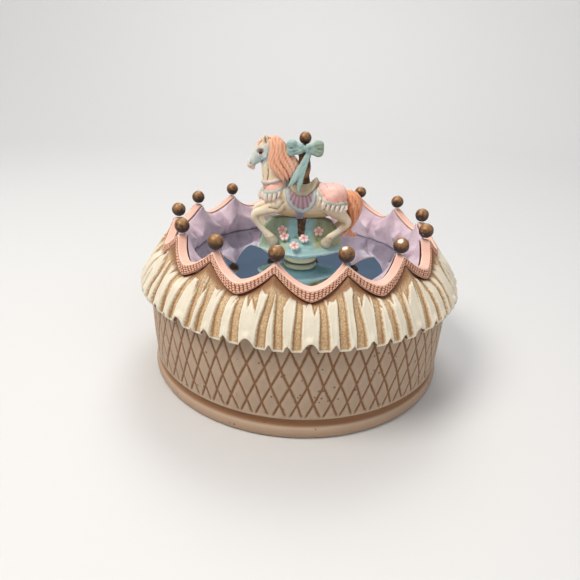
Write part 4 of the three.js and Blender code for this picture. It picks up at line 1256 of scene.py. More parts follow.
# %% Horse body
torso = [
    (-15.1, 70.6, 1.8, 2.6), (-13.5, 70.3, 4.3, 5.4), (-9.6, 69.2, 5.6, 6.6), (-4, 68.3, 5.9, 6.7), (2, 67.9, 5.8, 6.5),
    (8, 68.6, 5.9, 6.7), (13, 69.4, 5.6, 6.2), (16.5, 69.6, 4.2, 4.9), (18, 69.8, 1.8, 2.4),
]
neck = [(-8.3, 69.5, 4.3, 5.6), (-11.4, 77, 3.8, 5.0), (-12.7, 83.6, 3.0, 4.2), (-13.6, 89, 2.6, 3.2)]
head = [
    (-12.4, 90.3, 1.6, 2.2), (-13.6, 89.4, 2.4, 3), (-15.3, 88, 2.9, 3.8), (-17.3, 86.2, 2.6, 3.2),
    (-19.2, 84.3, 1.8, 2.2), (-20.6, 82.9, 1.45, 1.7), (-21.3, 82.2, 1.3, 1.45),
]
ear = [(-14.9, 90.0, 0.9, 1.2), (-15.2, 91.4, 0.95, 1.35), (-15.5, 92.8, 0.65, 0.95), (-15.8, 93.9, 0.2, 0.25)]
foreleg = [
    (-9.5, 68.2, 2.1, 3.4), (-11.5, 66.3, 2.2, 3.0), (-15.4, 64.7, 1.9, 2.2), (-18.3, 63.8, 1.7, 1.8),
    (-19.1, 61.9, 1.5, 1.6), (-17.2, 58.9, 1.15, 1.2), (-15.2, 56.6, 1.2, 1.25), (-13.6, 54.9, 1.5, 1.6),
    (-12.9, 54.2, 1.4, 1.6),
]
fore_hoof = [(-13.2, 54.6, 1.5, 1.6), (-12.4, 53.4, 1.8, 2.0), (-11.5, 52.2, 2.05, 2.3)]
hindleg = [
    (10.2, 69.6, 2.8, 4.6), (12.8, 66.8, 2.7, 4.0), (15.6, 64.0, 2.0, 2.6), (18.0, 62.0, 1.6, 1.8),
    (18.2, 60.4, 1.45, 1.6),
    (15.8, 58.0, 1.15, 1.25), (13.4, 56.1, 1.2, 1.3), (12.0, 54.9, 1.45, 1.6), (11.5, 54.2, 1.4, 1.5),
]
hind_hoof = [(11.7, 54.5, 1.5, 1.6), (11.0, 53.3, 1.8, 2.0), (10.2, 52.1, 2.05, 2.3)]
shapes = [limb(torso), limb(neck), limb(head)]
shapes += [egg(2.6, 2.9, 3.0, -15.2, 0, 86.2), egg(1.35, 1.6, 1.5, -21.2, 0, 81.9), egg(1.1, 1.1, 0.9, -20.2, 0, 80.8)]
for side_y in (-1, 1):
    shapes += [limb(ear, side_y * 1.7)]
    shapes += [egg(3.6, 2.4, 4.6, -11.5, side_y * 3.4, 70.4), egg(4.8, 2.6, 5.0, 11.5, side_y * 3.4, 69.6)]
    shapes += [limb(part, side_y * 4.5) for part in (foreleg, fore_hoof, hindleg, hind_hoof)]
    shapes += [egg(1.6, 1.5, 1.6, -18.9, side_y * 4.5, 63.1), egg(1.5, 1.4, 1.6, 18.3, side_y * 4.5, 61.3)]
horse = sculpt("horse_body", shapes, 0.36, 5)
p = points_of(horse)
both_sides = np.stack([p[:, 0], np.abs(p[:, 1]), p[:, 2]], 1)
amount = 0
dents = [  # place, radius and depth of the eye socket and the nostril
    ((-17.0, 3.0, 87.6), 1.1, 0.35), ((-21.0, 1.7, 82.7), 0.5, 0.5),
]
for spot, radius, depth in dents:
    amount = amount - depth * stroke(np.linalg.norm(both_sides - spot, axis=1), radius)
furrows = [  # line, width and depth: mouth, ear, cheek, brow, shoulder, thigh, legs, hooves and neck
    ([(-22.4, 0.9, 81.1), (-20.6, 1.6, 81.1), (-19.2, 1.9, 82.0)], 0.35, 0.35),
    ([(-15.0, 2.5, 90.8), (-15.3, 2.6, 92.4)], 0.5, 0.75),
    ([(-14.4, 3.2, 89.0), (-14.2, 3.3, 86.0), (-15.4, 3.2, 83.6)], 0.5, 0.3),
    ([(-18.0, 2.6, 88.0), (-16.2, 3.0, 88.9)], 0.4, -0.25),
    ([(-13, 6.3, 66.6), (-9.6, 6.6, 66.0), (-7.4, 6.3, 69.0)], 0.6, 0.4),
    ([(8.2, 6.4, 66.4), (9.6, 6.6, 64.0), (12.6, 6.4, 62.8)], 0.6, 0.4),
    ([(-18.0, 6.2, 62.4), (-14.2, 6.0, 63.6), (-11, 6.4, 64.4)], 0.4, 0.3),
    ([(17.4, 6.0, 60.4), (14.6, 6.0, 58.0), (12.6, 6.0, 56.2)], 0.35, 0.22),
    ([(-13.9, 2.0, 54.7), (-13.9, 6.4, 54.7)], 0.45, 0.25), ([(11.9, 2.0, 54.6), (11.9, 6.4, 54.6)], 0.45, 0.25),
    ([(-14.0, 2.6, 82.5), (-13.8, 3.0, 79.5), (-14.4, 3.2, 76.5)], 0.4, 0.4),
    ([(-15.6, 1.2, 82.0), (-15.8, 1.4, 79.0), (-16.2, 1.6, 76.6)], 0.35, 0.3),
]
for path, width, depth in furrows:
    amount = amount - depth * stroke(line_distance_3d(both_sides, path), width)
amount += 0.05 * ripple(p, 2.2, 70)
press(horse, amount)
save_hollows(horse, 9, 0.12)
p = points_of(horse)
x, y, z = p.T
aside = np.abs(y)
both_sides = np.stack([x, aside, z], 1)


def near(spot, radius):
    return stroke(np.linalg.norm(both_sides - spot, axis=1), radius)


# the layers below: worn tan, painted shade on the underside, the belly and the inner legs, hooves,
# grey face, pink muzzle and forelock, dark socket, nostril and ear
cheek = line_distance_3d(both_sides, [(-20.6, 1.4, 83.6), (-17.0, 2.2, 86.4)])
socket = smoothstep(1.25, 0.85, np.hypot((x + 17.2) / 1.3, z - 87.6)) * (aside > 1)
shades = coats(
    two_tone((240, 221, 186), (208, 173, 120), smoothstep(0.0, 0.9, ripple(p, 7, 71))),
    # painted shade: tan on the faces that look down, under the belly and on the inner sides of the legs
    ((200, 160, 110), smoothstep(0.05, -0.95, normals_of(horse)[:, 2]) * 0.75),
    ((200, 162, 112), smoothstep(64.5, 62.2, z) * smoothstep(9, 6, np.abs(x)) * 0.7),
    ((196, 158, 112), smoothstep(3.4, 2.2, aside) * smoothstep(67, 63, z) * 0.5),
    ((176, 160, 130), smoothstep(54.9, 54.4, z + 0.25 * (np.abs(x) - 12))),
    ((196, 212, 212), smoothstep(4.6, 2.2, cheek) * 0.75),
    ((240, 190, 168), np.clip(near((-21.4, 0.6, 80.4), 1.9) * 1.3, 0, 1) * 0.9),
    ((240, 196, 172), near((-18.2, 0.6, 90.0), 1.8) * 0.8), ((104, 72, 52), socket * 0.85),
    ((60, 48, 42), near((-21.0, 1.6, 82.7), 0.42)), ((120, 84, 62), near((-15.2, 2.4, 91.8), 0.9) * 0.8),
)
save_tint(horse, shades)
horse_finish = painted("ivory_resin", None, (160, 112, 66), (250, 244, 228), 0.95, 0.3, 900.0, 0.1)
print("horse:", len(p), "points")

# %% Eyes
eye_finish, tree, shader = new_material("glossy_black_paint")
shader.inputs["Base Color"].default_value = (0.012, 0.009, 0.008, 1)
place = object_place(tree)
wire(tree, noise_node(tree, place, 1200.0), shader.inputs["Coat Weight"])
wire(tree, range_node(tree, noise_node(tree, place, 2000.0), 0.3, 0.7, 0.12, 0.3), shader.inputs["Roughness"])
lid_finish = painted("eye_white_paint", (246, 242, 234), (150, 110, 80), (255, 250, 240), 0.4, 0.2)
for side_y, name in ((-1, "left"), (1, "right")):
    _, spot, normal, _ = horse.closest_point_on_mesh(Vector((-17.3, side_y * 4.5, 87.4)) * MM)
    spot, normal = np.array(spot) / MM, np.array(normal)
    long_way = np.array([0.78, 0, 0.62])
    long_way -= long_way @ normal * normal
    long_way /= np.linalg.norm(long_way)
    third = np.cross(normal, long_way)
    parts = [("white", (1.0, 0.5, 0.4), -0.14, lid_finish), ("eye", (0.74, 0.62, 0.42), 0.05, eye_finish)]
    for label, sizes, out, finish in parts:
        points, faces = egg(*sizes, 0, 0, 0, 20)
        points = points @ np.stack([long_way, third, normal]) + spot + normal * out
        if label == "eye":
            points = points + long_way * 0.1
        part = weld(make_mesh(f"horse_{label}_{name}", points, faces))
        save_value(part, "hollow", np.zeros(len(part.data.vertices)))
        dress(part, finish, "turntable", "horse_resin", "horse")
dress(horse, horse_finish, "turntable", "horse_resin", "horse")

# %% [markdown]
# ## Cloths and harness
# Each cloth on the cast lies close to the body, so it is made from the body's own surface: the faces
# inside an outline are copied, lifted, and closed to a thin solid. The same signed distance to the
# outline gives rounded edges, raised trims and scalloped fringes.


# %% Outline distance and layers
def outline_distance(points, outline):
    """Signed distance in the XZ plane to a closed outline, positive inside."""
    x, z = points[:, 0], points[:, 2]
    best, inside = np.full(len(points), 1e9), np.zeros(len(points), bool)
    loop = list(outline) + [outline[0]]
    for (x0, z0), (x1, z1) in zip(loop, loop[1:]):
        t = np.clip(((x - x0) * (x1 - x0) + (z - z0) * (z1 - z0)) / ((x1 - x0) ** 2 + (z1 - z0) ** 2), 0, 1)
        best = np.minimum(best, np.hypot(x - x0 - t * (x1 - x0), z - z0 - t * (z1 - z0)))
        crosses = (z0 > z) != (z1 > z)
        inside ^= crosses & (x < (x1 - x0) * (z - z0) / (z1 - z0 + 1e-12) + x0)
    return np.where(inside, best, -best)


def cloth_layer(name, inside, lift, shades, hollow, finish, slot, node):
    """Copies the horse's faces where inside > -0.6 mm, lifts them, closes the back and paints it."""
    n = normals_of(horse)
    faces = np.zeros(len(horse.data.polygons) * 4, np.int32)
    horse.data.loops.foreach_get("vertex_index", faces)
    faces = faces.reshape(-1, 4)
    faces = faces[(inside[faces] > -0.6).all(1)]
    used, faces = np.unique(faces, return_inverse=True)
    faces = faces.reshape(-1, 4)
    edge_pairs = np.concatenate([faces[:, [0, 1]], faces[:, [1, 2]], faces[:, [2, 3]], faces[:, [3, 0]]])
    key = np.sort(edge_pairs, 1)
    _, where, times = np.unique(key, axis=0, return_index=True, return_counts=True)
    border = edge_pairs[where[times == 1]]
    d, up = inside[used], lift[used]
    height = up * smoothstep(-0.12, 0.34, d) - 0.35 * smoothstep(0.0, -0.5, d)
    outer = p[used] + n[used] * height[:, None]
    inner = p[used] - n[used] * 0.5
    count = len(used)
    walls = np.stack([border[:, 1], border[:, 0], border[:, 0] + count, border[:, 1] + count], 1)
    piece = make_mesh(name, np.concatenate([outer, inner]), np.concatenate([faces, faces[:, ::-1] + count, walls]))
    save_tint(piece, np.concatenate([shades[used], shades[used]]))
    save_hollows(piece, *hollow)
    dress(piece, finish, "turntable", slot, node)


p = points_of(horse)
x, y, z = p.T
on_side = np.abs(y)

# %% Saddle blanket, ribbed mauve with an aqua border and a hanging strap
blanket = [
    (-6.6, 79), (-6.9, 72.4), (-6.4, 69.4), (-4.6, 66.8), (-1.8, 65.2), (0.9, 65.0), (3.4, 66.5), (5.0, 69.2), (5.4, 72.4),
    (5.2, 79),
]
strap = [(-2.6, 66.2), (-2.3, 60.0), (0.6, 60.0), (1.0, 66.0)]
d_cloth = outline_distance(p, blanket)
d_strap = np.where(on_side > 1.2, outline_distance(p, strap), -9)
ray = np.arctan2(x + 0.8, np.maximum(78 - z, 0.1))
ribs = 0.5 + 0.5 * np.cos(ray * 34)
border = smoothstep(1.35, 1.15, d_cloth) * (d_cloth > 0)
lift = 0.55 + 0.2 * border + 0.14 * (ribs - 0.5) * (1 - border) + 0.05 * ripple(p, 1.4, 81)
shades = coats(
    two_tone((160, 126, 132), (182, 150, 156), ribs), ((166, 196, 190), border),
    ((148, 138, 150), smoothstep(0.2, -0.2, d_cloth)),
    ((214, 204, 190), smoothstep(0.35, 0.1, np.abs(d_cloth - 1.4)) * 0.5),
)
cloth_finish = painted("mauve_cloth_resin", None, (104, 74, 70), (214, 200, 204), 0.8, 0.4, 1500.0, 0.12)
cloth_layer("saddle_blanket_cloth", np.maximum(d_cloth, d_strap), lift, shades, (5, 0.12), cloth_finish,
            "blanket_resin", "saddle_blanket")

# %% Saddle with raised pommel and cantle
seat = [(-6.6, 80), (-6.3, 74.4), (-4.4, 72.3), (-1.5, 71.1), (1.6, 71.2), (4.4, 72.8), (6.9, 75.4), (7.4, 80)]
d_seat = outline_distance(p, seat)
cantle = smoothstep(2.6, 6.2, x) * smoothstep(5.6, 2.0, on_side)
pommel = smoothstep(-2.6, -5.2, x) * smoothstep(4.6, 1.5, on_side)
lift = 1.35 + 1.9 * cantle + 1.5 * pommel - 0.35 * smoothstep(1.6, 0.5, d_seat) + 0.2 * stroke(d_seat - 0.7, 0.35)
shades = coats(
    two_tone((186, 170, 138), (164, 144, 110), smoothstep(0, 1, ripple(p, 5, 82))),
    ((206, 192, 164), stroke(d_seat - 0.9, 0.4) * 0.7), ((120, 92, 62), smoothstep(0.45, 0.1, d_seat) * 0.7),
)
saddle_finish = painted("khaki_saddle_resin", None, (112, 82, 52), (220, 206, 178), 0.85, 0.4, 1000.0)
cloth_layer("saddle_seat", d_seat, lift, shades, (8, 0.2), saddle_finish, "saddle_resin", "saddle")

# %% Rump blanket with trim and scalloped fringe
rump = [
    (7.0, 80), (6.6, 76.2), (5.0, 73.4), (5.8, 69.4), (7.8, 67.0), (10.6, 66.2), (14.0, 65.8), (17.4, 66.0), (17.6, 80),
]
low_line = np.interp(x, [4.8, 5.8, 7.8, 10.6, 14.0, 17.4], [71.2, 69.4, 67.4, 66.5, 66.0, 66.1])
above = (z - low_line) * np.interp(x, [6, 9], [0.8, 1.0])
scallop = 0.5 + 0.5 * np.cos((x - 0.25 * z) * TURN / 1.75)
inside = np.minimum(outline_distance(p, rump), above + 0.3 - 0.9 * (1 - scallop))
trim = smoothstep(2.35, 2.5, above) * smoothstep(3.45, 3.3, above)
fringe = smoothstep(2.45, 2.3, above)
quilt = stroke(np.abs(((x + 0.9 * z) / 3.4) % 1 - 0.5) * 3.4, 0.22) * smoothstep(3.4, 3.7, above)
lift = 0.55 + 0.3 * trim + 0.75 * fringe * scallop**0.7 - 0.18 * quilt
blush = two_tone((238, 180, 162), (247, 202, 188), smoothstep(71, 75, z))
shades = coats(blush, ((160, 186, 168), trim), ((238, 226, 204), fringe))
blush_finish = painted("blush_cloth_resin", None, (166, 110, 84), (252, 226, 216), 0.8, 0.35, 1100.0)
cloth_layer("rump_blanket_cloth", inside, lift, shades, (6, 0.14), blush_finish, "blush_resin", "rump_blanket")

# %% Chest collar: two aqua bands round a pink one, and a fringe below
collar = [
    (-21, 76.2), (-16.6, 76.2), (-13, 76.6), (-8.2, 78.4), (-7.4, 76.4), (-8.4, 73.0), (-9.6, 70.2), (-11.2, 68.4),
    (-21, 68.0),
]
below = np.interp(x, [-17, -13, -8.2], [76.2, 76.6, 78.4]) - z
above = z - np.interp(x, [-18, -14, -11, -9.4], [68.7, 68.9, 69.3, 70.2])
scallop = 0.5 + 0.5 * np.cos(np.arctan2(y, -(x + 9)) * 26)
top_band = smoothstep(0.1, 0.25, below) * smoothstep(1.3, 1.15, below)
low_band = smoothstep(2.7, 2.85, above) * smoothstep(3.9, 3.75, above)
fringe = smoothstep(2.8, 2.65, above)
inside = np.minimum(outline_distance(p, collar), above + 0.3 - 0.9 * (1 - scallop))
lift = 0.5 + 0.35 * top_band + 0.35 * low_band + 0.8 * fringe * scallop**0.7
lift = lift - 0.12 * stroke(np.abs(((x - z) / 3.0) % 1 - 0.5) * 3, 0.2) * (1 - fringe)
blush = two_tone((236, 174, 156), (244, 196, 180), 0.5 + 0.5 * ripple(p, 3, 84))
shades = coats(blush, ((166, 192, 178), np.maximum(top_band, low_band)), ((240, 228, 206), fringe))
cloth_layer("chest_collar_cloth", inside, lift, shades, (6, 0.14), blush_finish, "blush_resin", "chest_collar")

# %% Bridle straps
straps = [
    [(-20.9, 84.4), (-19.2, 81.0)], [(-19.9, 83.0), (-17.4, 84.0), (-14.9, 85.6), (-14.2, 88.2), (-14.0, 90.4)],
    [(-15.2, 85.4), (-15.6, 83.4), (-16.2, 82.6)],
]
flat_points = p * (1, 0, 1)
to_strap = np.min([line_distance_3d(flat_points, [(a, 0, b) for a, b in path]) for path in straps], axis=0)
ring_spots = [(-19.9, 82.9), (-15.1, 85.4)]
rings = np.max([0.5 - np.hypot(x - a, z - b) for a, b in ring_spots], axis=0)
inside = np.where(on_side > 0.7, np.maximum(0.3 - to_strap, rings), -9)
lift = 0.24 + 0.2 * smoothstep(-0.1, 0.1, rings)
shades = two_tone((150, 196, 206), (206, 190, 140), smoothstep(-0.05, 0.05, rings))
strap_finish = painted("sky_blue_strap_paint", None, (100, 110, 100), (226, 238, 238), 0.6, 0.4)
cloth_layer("bridle_straps", inside, lift, shades, (3, 0.1), strap_finish, "bridle_resin", "bridle")

# %% [markdown]
# ## Mane and tail
# Flowing locks are tapered tubes that run beside each other and overlap. A fine voxel joins them but
# keeps the valleys between, which the brown wash then fills.


# %% Locks
def lock(path, width, depth, sideways=(0, 1, 0)):
    """A tapered strand of hair."""
    t = np.linspace(0, 1, len(path))
    swell = np.sin(math.pi * np.clip(0.1 + 0.88 * t, 0, 1)) ** 0.65
    return tube(path, np.maximum(width * swell, 0.12), np.maximum(depth * swell, 0.12), 14, 6, sideways)


def waved(path, amplitude, waves, phase):
    """Gives a path a side-to-side wave in the upright plane, growing from its root."""
    path = np.asarray(path, float)
    t = np.linspace(0, 1, 4 * len(path))
    fine = np.stack([np.interp(t, np.linspace(0, 1, len(path)), path[:, k]) for k in range(3)], 1)
    for _ in range(3):
        fine[1:-1] = (fine[:-2] + 2 * fine[1:-1] + fine[2:]) / 4
    fine[:, 0] += amplitude * np.sin(TURN * (waves * t + phase)) * smoothstep(0, 0.25, t)
    return fine[::2]


shapes = []
near_side = [  # root, middle stations and tip of each lock on one side
    [(-13.4, 2.0, 91.4), (-13.0, 3.3, 87.6), (-11.9, 4.1, 83.0), (-9.6, 4.9, 79.2), (-7.6, 5.5, 75.8)],
    [(-12.6, 1.6, 92.4), (-11.3, 3.1, 88.6), (-10.2, 4.0, 84.2), (-8.0, 4.9, 80.0), (-6.0, 5.4, 76.2)],
    [(-11.6, 1.2, 92.8), (-9.6, 2.7, 89.2), (-8.3, 3.7, 85.0), (-6.4, 4.6, 80.8), (-4.6, 5.2, 77.2)],
    [(-10.6, 0.8, 92.4), (-8.0, 2.1, 88.8), (-6.4, 3.2, 85.2), (-4.9, 4.1, 81.4), (-3.6, 4.8, 77.8)],
    [(-9.8, 0.4, 90.6), (-6.6, 1.3, 87.4), (-4.6, 2.4, 84.6), (-3.6, 3.4, 81.2), (-3.2, 4.0, 78.6)],
]
rng = np.random.default_rng(31)
for side_y in (-1, 1):
    aside = (0.8, 0.6 * side_y, 0)
    for k, path in enumerate(near_side):
        path = np.array(path) * (1, side_y, 1)
        shapes.append(lock(waved(path, 0.62, 1.35, 0.08 * k + rng.uniform(-0.05, 0.05)), 1.42, 1.15, aside))
        between = waved(path + (0.95, -0.5 * side_y, -0.4), 0.62, 1.35, 0.08 * k + 0.03)
        shapes.append(lock(between[:-1], 0.95, 0.95, aside))
shapes.append(limb([
    (-13.4, 91.6, 1.2, 0.9), (-11.6, 91.8, 1.7, 1.3), (-9.8, 89.0, 2.0, 1.9), (-7.6, 85.4, 2.2, 2.2),
    (-5.9, 81.6, 2.6, 2.2), (-5.0, 78.8, 2.6, 1.8),
]))
shapes.append(lock([(-13.6, 0.5, 92.4), (-15.8, 0.3, 92.0), (-17.6, 0.2, 90.8), (-18.9, 0.2, 89.0)], 0.85, 0.6))
shapes.append(lock([(-13.6, -0.5, 92.6), (-15.6, -0.8, 92.3), (-17.2, -1.2, 91.0), (-18.2, -1.5, 89.4)], 0.8, 0.6))
mane = sculpt("flowing_mane", shapes, 0.27, 2)
save_hollows(mane, 7, 0.13)
x, y, z = points_of(mane).T
streak = 0.5 + 0.5 * np.sin(x * 5.2 + np.sin(z * 0.55) * 3.2 + np.abs(y) * 2.5)
press(mane, 0.07 * (streak - 0.5))
shades = two_tone((232, 158, 120), (244, 190, 156), streak)
shades = coats(shades, ((245, 198, 172), smoothstep(-7.5, -4.5, x) * 0.6))
save_tint(mane, shades)
hair_finish = painted("peach_hair_resin", None, (158, 84, 46), (252, 214, 188), 1.0, 0.4, 1300.0)
dress(mane, hair_finish, "turntable", "mane_resin", "mane")

centre_line = np.array([
    (15.8, 0, 71.6), (17.6, 0, 72.0), (19.7, 0, 71.2), (20.9, 0, 68.2), (20.9, 0, 65.0), (20.8, 0, 61.6), (20.0, 0, 58.2),
    (19.3, 0, 55.4),
])
fan = np.array([0.45, 0.9, 1.7, 2.35, 2.2, 1.4, 1.0, 0.9])
shapes = []
for k in range(8):
    twist = TURN * k / 8 + np.linspace(0, 1.5, 8)
    path = centre_line + np.stack([fan * np.cos(twist), 1.05 * fan * np.sin(twist), 0.2 * fan * np.cos(twist)], 1)
    path[:, 2] += rng.uniform(-0.4, 0.4)
    shapes.append(lock(waved(path[: 8 - (k % 3 == 1)], 0.45, 1.2, 0.1 * k), 1.3, 1.2))
curls = [
    [(20.2, -0.6, 59.0), (19.0, -1.0, 56.4), (17.4, -1.4, 54.9), (15.8, -1.4, 54.4)],
    [(20.2, -0.4, 58.6), (20.2, -0.8, 56.0), (21.2, -1.0, 54.6), (22.6, -0.9, 55.2), (22.9, -0.8, 56.4)],
]
shapes.append(tube(centre_line, [0.9, 1.4, 1.9, 2.2, 2.0, 1.4, 0.9, 0.4], [0.9, 1.3, 1.9, 2.3, 2.1, 1.4, 0.9, 0.4]))
shapes += [lock(curls[0], 1.0, 0.9), lock(curls[1], 0.95, 0.9)]
tail = sculpt("flowing_tail", shapes, 0.27, 2)
save_hollows(tail, 7, 0.13)
x, y, z = points_of(tail).T
streak = 0.5 + 0.5 * np.sin(x * 4.4 + y * 4.0 + np.sin(z * 0.5) * 3)
press(tail, 0.07 * (streak - 0.5))
save_tint(tail, two_tone((226, 140, 92), (240, 174, 130), streak))
dress(tail, hair_finish, "turntable", "mane_resin", "tail")

# %% [markdown]
# ## Pole, finial and bow
# The twisted pole is a lathe whose radius swings with a turn that climbs along it. The bow is
# sculpted from eggs and flat tubes, then its folds are pressed in.

# %% Twisted pole
z = np.linspace(50, 90.4, 150)[None, :]
turn = np.arange(48)[:, None] * TURN / 48
twisted = smoothstep(60, 63, z)
swing = np.cos(2 * (turn - z * 0.5)) * twisted
r = 2.1 + (0.35 + 0.22 * swing) * twisted
ends = np.where((z < 50.01) | (z > 90.39), 0.0, 1.0)
pole = weld(make_mesh("twisted_pole", around(r * ends, turn, z).reshape(-1, 3), grid_faces(48, 150)))
x, y, z = points_of(pole).T
twisted = smoothstep(60, 63, z)
swing = np.cos(2 * (np.arctan2(y, x) - z * 0.5)) * twisted
# brighter gold on the twist's ridges, and a painted highlight on the left, lit side
save_value(pole, "gold", 0.5 + 0.6 * smoothstep(0.1, 0.9, swing) + 0.3 * smoothstep(0.3, -0.8, x / 2) * twisted)
# darker in the twist's grooves: painted shade over the dark paint
save_value(pole, "dark_paint_and_shade", smoothstep(-0.3, -0.95, swing) * 0.6)
save_value(pole, "chip", np.zeros(len(x)))
dress(pole, ball_finish, "turntable", "pole_resin", "pole")

low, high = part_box("pole_finial")
FINIAL_PLACE, FINIAL_RADIUS = (0, 0, 92.7), 2.4
unit = ball_points(44, 25)
grown = unit * (2.36 + 0.06 * ripple(unit * 3, 1.6, 90))[:, None]
grown[:, 2] = np.maximum(grown[:, 2], -2.15)
finial = weld(make_mesh("gold_finial", grown + FINIAL_PLACE, grid_faces(44, 25)))
unit = (points_of(finial) - FINIAL_PLACE) / FINIAL_RADIUS
# painted highlight: gold brighter towards the top; painted shade: a dark underside
save_value(finial, "gold", np.clip(0.55 + 0.5 * unit[:, 2] + 0.2 * ripple(unit * 3, 1.6, 91), 0, 1))
save_value(finial, "dark_paint_and_shade", smoothstep(-0.4, -0.8, unit[:, 2]))
save_value(finial, "chip", np.zeros(len(unit)))
dress(finial, ball_finish, "turntable", "gold_resin", "pole_finial")

# %% Bow
shapes = [egg(1.3, 1.3, 1.9, 1.1, -4.3, 89.3)]
for side_x in (-1, 1):
    shapes += [
        egg(3.8, 1.5, 2.4, side_x * 3.5, -3.7, 89.2), egg(2.2, 1.65, 1.9, side_x * 5.0, -3.8, 90.7),
        egg(2.1, 1.6, 1.8, side_x * 5.1, -3.6, 88.0), egg(1.5, 1.5, 1.7, side_x * 2.0, -3.9, 89.3),
    ]
turn = np.arange(36)[:, None] * TURN / 36
ring_turn = np.arange(16)[None, :] * TURN / 16
band_ring = around(2.75 + 0.65 * np.cos(ring_turn), turn, 88.75 + 1.1 * np.sin(ring_turn))
shapes.append((band_ring.reshape(-1, 3), grid_faces(36, 16, True, True)))
tails = [  # path and widths of each end of the ribbon
    ([(1.3, -4.4, 88.0), (-0.5, -5.2, 84.4), (-2.2, -6.2, 81.0), (-4.0, -7.0, 77.8), (-5.9, -7.4, 75.4)],
     [0.8, 1.1, 1.5, 1.4, 0.35]),
    ([(1.6, -4.5, 88.0), (0.5, -5.3, 84.2), (-0.8, -6.2, 80.6), (-1.6, -6.9, 77.0), (-2.0, -7.3, 73.4)],
     [0.8, 1.1, 1.4, 1.4, 0.35]),
]
shapes += [tube(path, widths, [0.45, 0.4, 0.4, 0.38, 0.3], 16, 6, (0.9, -0.25, 0.1)) for path, widths in tails]
bow = sculpt("aqua_bow", shapes, 0.27, 4)
p = points_of(bow)
folds = [([(0.2, -5.6, 84.4), (-1.6, -6.7, 80.6), (-2.8, -7.4, 77.4)], 0.35, 0.22)]
for side_x in (-1, 1):
    for rise in (-1.6, 0.0, 1.5):
        course = [(1.6, -5.3, 0.2), (3.4, -5.2, 0.55), (5.8, -5.1, 1)]
        folds.append(([(side_x * out, y, 89.3 + share * rise) for out, y, share in course], 0.42, 0.3))
pressed = sum(-depth * stroke(line_distance_3d(p, path), width) for path, width, depth in folds)
press(bow, pressed + 0.06 * ripple(p, 1.6, 95))
save_hollows(bow, 8, 0.25)
p = points_of(bow)
x, y, z = p.T
shades = coats(
    two_tone((148, 178, 172), (172, 196, 186), 0.5 + 0.5 * ripple(p, 3, 96)),
    ((154, 168, 138), smoothstep(1.5, 5, x) * smoothstep(85, 86, z) * 0.7),
)
save_tint(bow, shades)
bow_finish = painted("aqua_bow_resin", None, (92, 100, 74), (212, 232, 224), 0.85, 0.4, 1000.0)
dress(bow, bow_finish, "turntable", "bow_resin", "bow")

# %% [markdown]
# ## Flowers
# Five small blossoms lie on the mound. Each is one closed disc whose reach swells and shrinks five
# times on the way round, which makes the petals, and whose middle rises to a button.

# %% Blossoms
petal_finish = painted("blossom_petal_resin", None, (196, 120, 104), (255, 244, 240), 0.6, 0.45, 1400.0)
for k in range(5):
    low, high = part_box(f"flower_{k + 1}")
    centre = np.array((low + high) / 2) / MM
    upright = k > 2
    facing = np.array([0.0, -1.0, 0.12]) if upright else np.array([centre[0] * 0.012, -0.5, 0.86])
    facing /= np.linalg.norm(facing)
    first = np.cross(facing, (0, 0, 1) if not upright else (1, 0, 0))
    first /= np.linalg.norm(first)
    second = np.cross(facing, first)
    turn = np.arange(80)[:, None] * TURN / 80
    steps = np.concatenate([np.linspace(0, 1, 12), [0.96, 0.6, 0.0]])[None, :]
    lobes = np.abs(np.cos(2.5 * turn)) ** 0.45
    notch = 0.1 * np.exp(-((((2.5 * turn / math.pi + 0.5) % 1 - 0.5) * 14) ** 2))
    reach = 2.05 * (0.5 + 0.5 * lobes - notch)
    top_side = np.arange(15)[None, :] < 12
    cupped = 0.3 + 0.5 * np.sin(steps * 2.4) * (0.5 + 0.5 * lobes) - 0.25 * (1 - lobes) * steps
    lift = np.where(top_side, cupped + 0.55 * stroke(steps, 0.2), -0.35)
    placed = around(reach * steps, turn, lift).reshape(-1, 3) @ np.stack([first, second, facing]) + centre
    blossom = weld(make_mesh(f"blossom_{k + 1}", placed, grid_faces(80, 15)))
    save_hollows(blossom, 4, 0.12)
    offset = points_of(blossom) - centre
    away = np.linalg.norm(offset - (offset @ facing)[:, None] * facing, axis=1)
    tones = two_tone((228, 132, 124), (246, 206, 196), smoothstep(0.25, 1.0, away))
    # the upright blossoms stand on the bank under the horse's belly and get a duller tone: painted shade
    wear_and_shade = np.full(len(away), 0.45 if upright else 0.0)
    save_tint(blossom, coats(tones, ((252, 236, 228), smoothstep(1.1, 1.9, away)), ((226, 170, 150), wear_and_shade)))
    dress(blossom, petal_finish, "turntable", "flower_resin", f"flower_{k + 1}")

# %% [markdown]
# ## The movement
# Through the open underside one sees a small eighteen-note movement: a cast zinc bedplate, a steel
# comb, a pinned brass cylinder, the spring housing, the gear train and the air-brake fan. The CAD
# parts already have their final shapes, so they keep their meshes and get aged metals only. The
# noise in these metals comes from object coordinates, so scratches and clouds differ on each part.

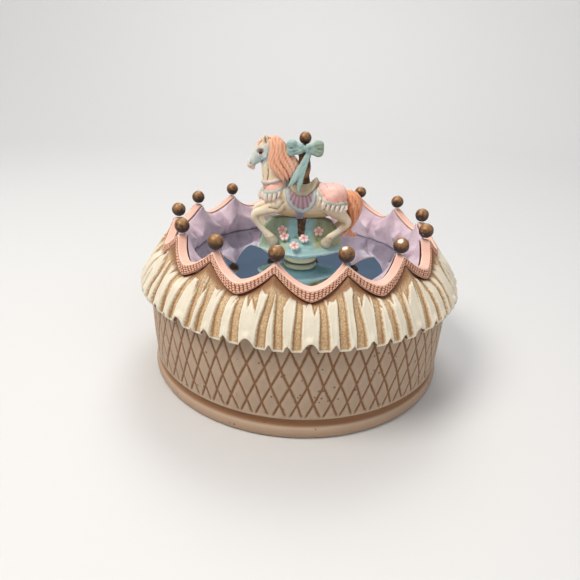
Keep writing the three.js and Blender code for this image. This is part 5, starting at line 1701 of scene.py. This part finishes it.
# %% Metals on the CAD parts
steel = bare_metal("spring_steel", (196, 198, 202), (128, 118, 108), 0.35, 900.0)
metals = {  # each metal and how the names of its parts start
    steel: ("comb", "mounting_screw", "winding_arbor", "drive_shaft", "governor_fan"),
    bare_metal("cast_zinc", (176, 174, 170), (120, 116, 110), 0.7, 500.0): ("bedplate",),
    bare_metal("blued_steel", (110, 116, 132), (78, 66, 60), 0.5, 900.0): ("mainspring",),
    bare_metal("nickel_plate", (206, 204, 198), (150, 140, 124), 0.3, 1200.0): ("winding_key",),
    bare_metal("drawn_brass", (214, 182, 112), (146, 108, 58), 0.55, 700.0): (
        "spring_barrel", "cylinder_bearing", "second_wheel", "governor_bracket", "pinned_cylinder",
    ),
}
for material, starts in metals.items():
    for name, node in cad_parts.items():
        if name.startswith(starts):
            for k in range(len(node.data.materials)):
                node.data.materials[k] = material
            if not node.data.materials:
                node.data.materials.append(material)
print("metals on the movement:", [material.name for material in metals])

# %% [markdown]
# The cylinder plays through its pins. They are far too many to model one by one, so points are set
# in eighteen tracks round the cylinder, and the same Geometry Nodes tree that laid the bricks sets a
# small tapered pin on each.

# %% Cylinder pins
low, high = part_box("pinned_cylinder")
foot_r, axis_z = 6.3 - 0.05, (high.z + low.z) / 2 / MM  # the smooth part, between pinion and wheel
FIRST_TRACK, LAST_TRACK = 14.7, 27.4
rng = np.random.default_rng(18)
spots, turns, sizes = [], [], []
for x in np.linspace(FIRST_TRACK, LAST_TRACK, 18):
    for _ in range(16):
        a = rng.uniform(0, TURN)
        spots.append((x, foot_r * math.cos(a), axis_z + foot_r * math.sin(a)))
        turns.append((a - math.pi / 2, 0, 0))
        sizes.append((0.13, 0.13, 0.38))
profile = [(0, -0.3), (1, -0.3), (0.95, 0.6), (0.7, 0.95), (0, 1.0)]
pin = weld(make_mesh("pin", lathe(profile, 8).reshape(-1, 3) / MM, grid_faces(8, 5)), 0.001)
pins = lay("cylinder_pins", (spots, turns, sizes), pin, steel)
dress(pins, steel, "cylinder", "steel")
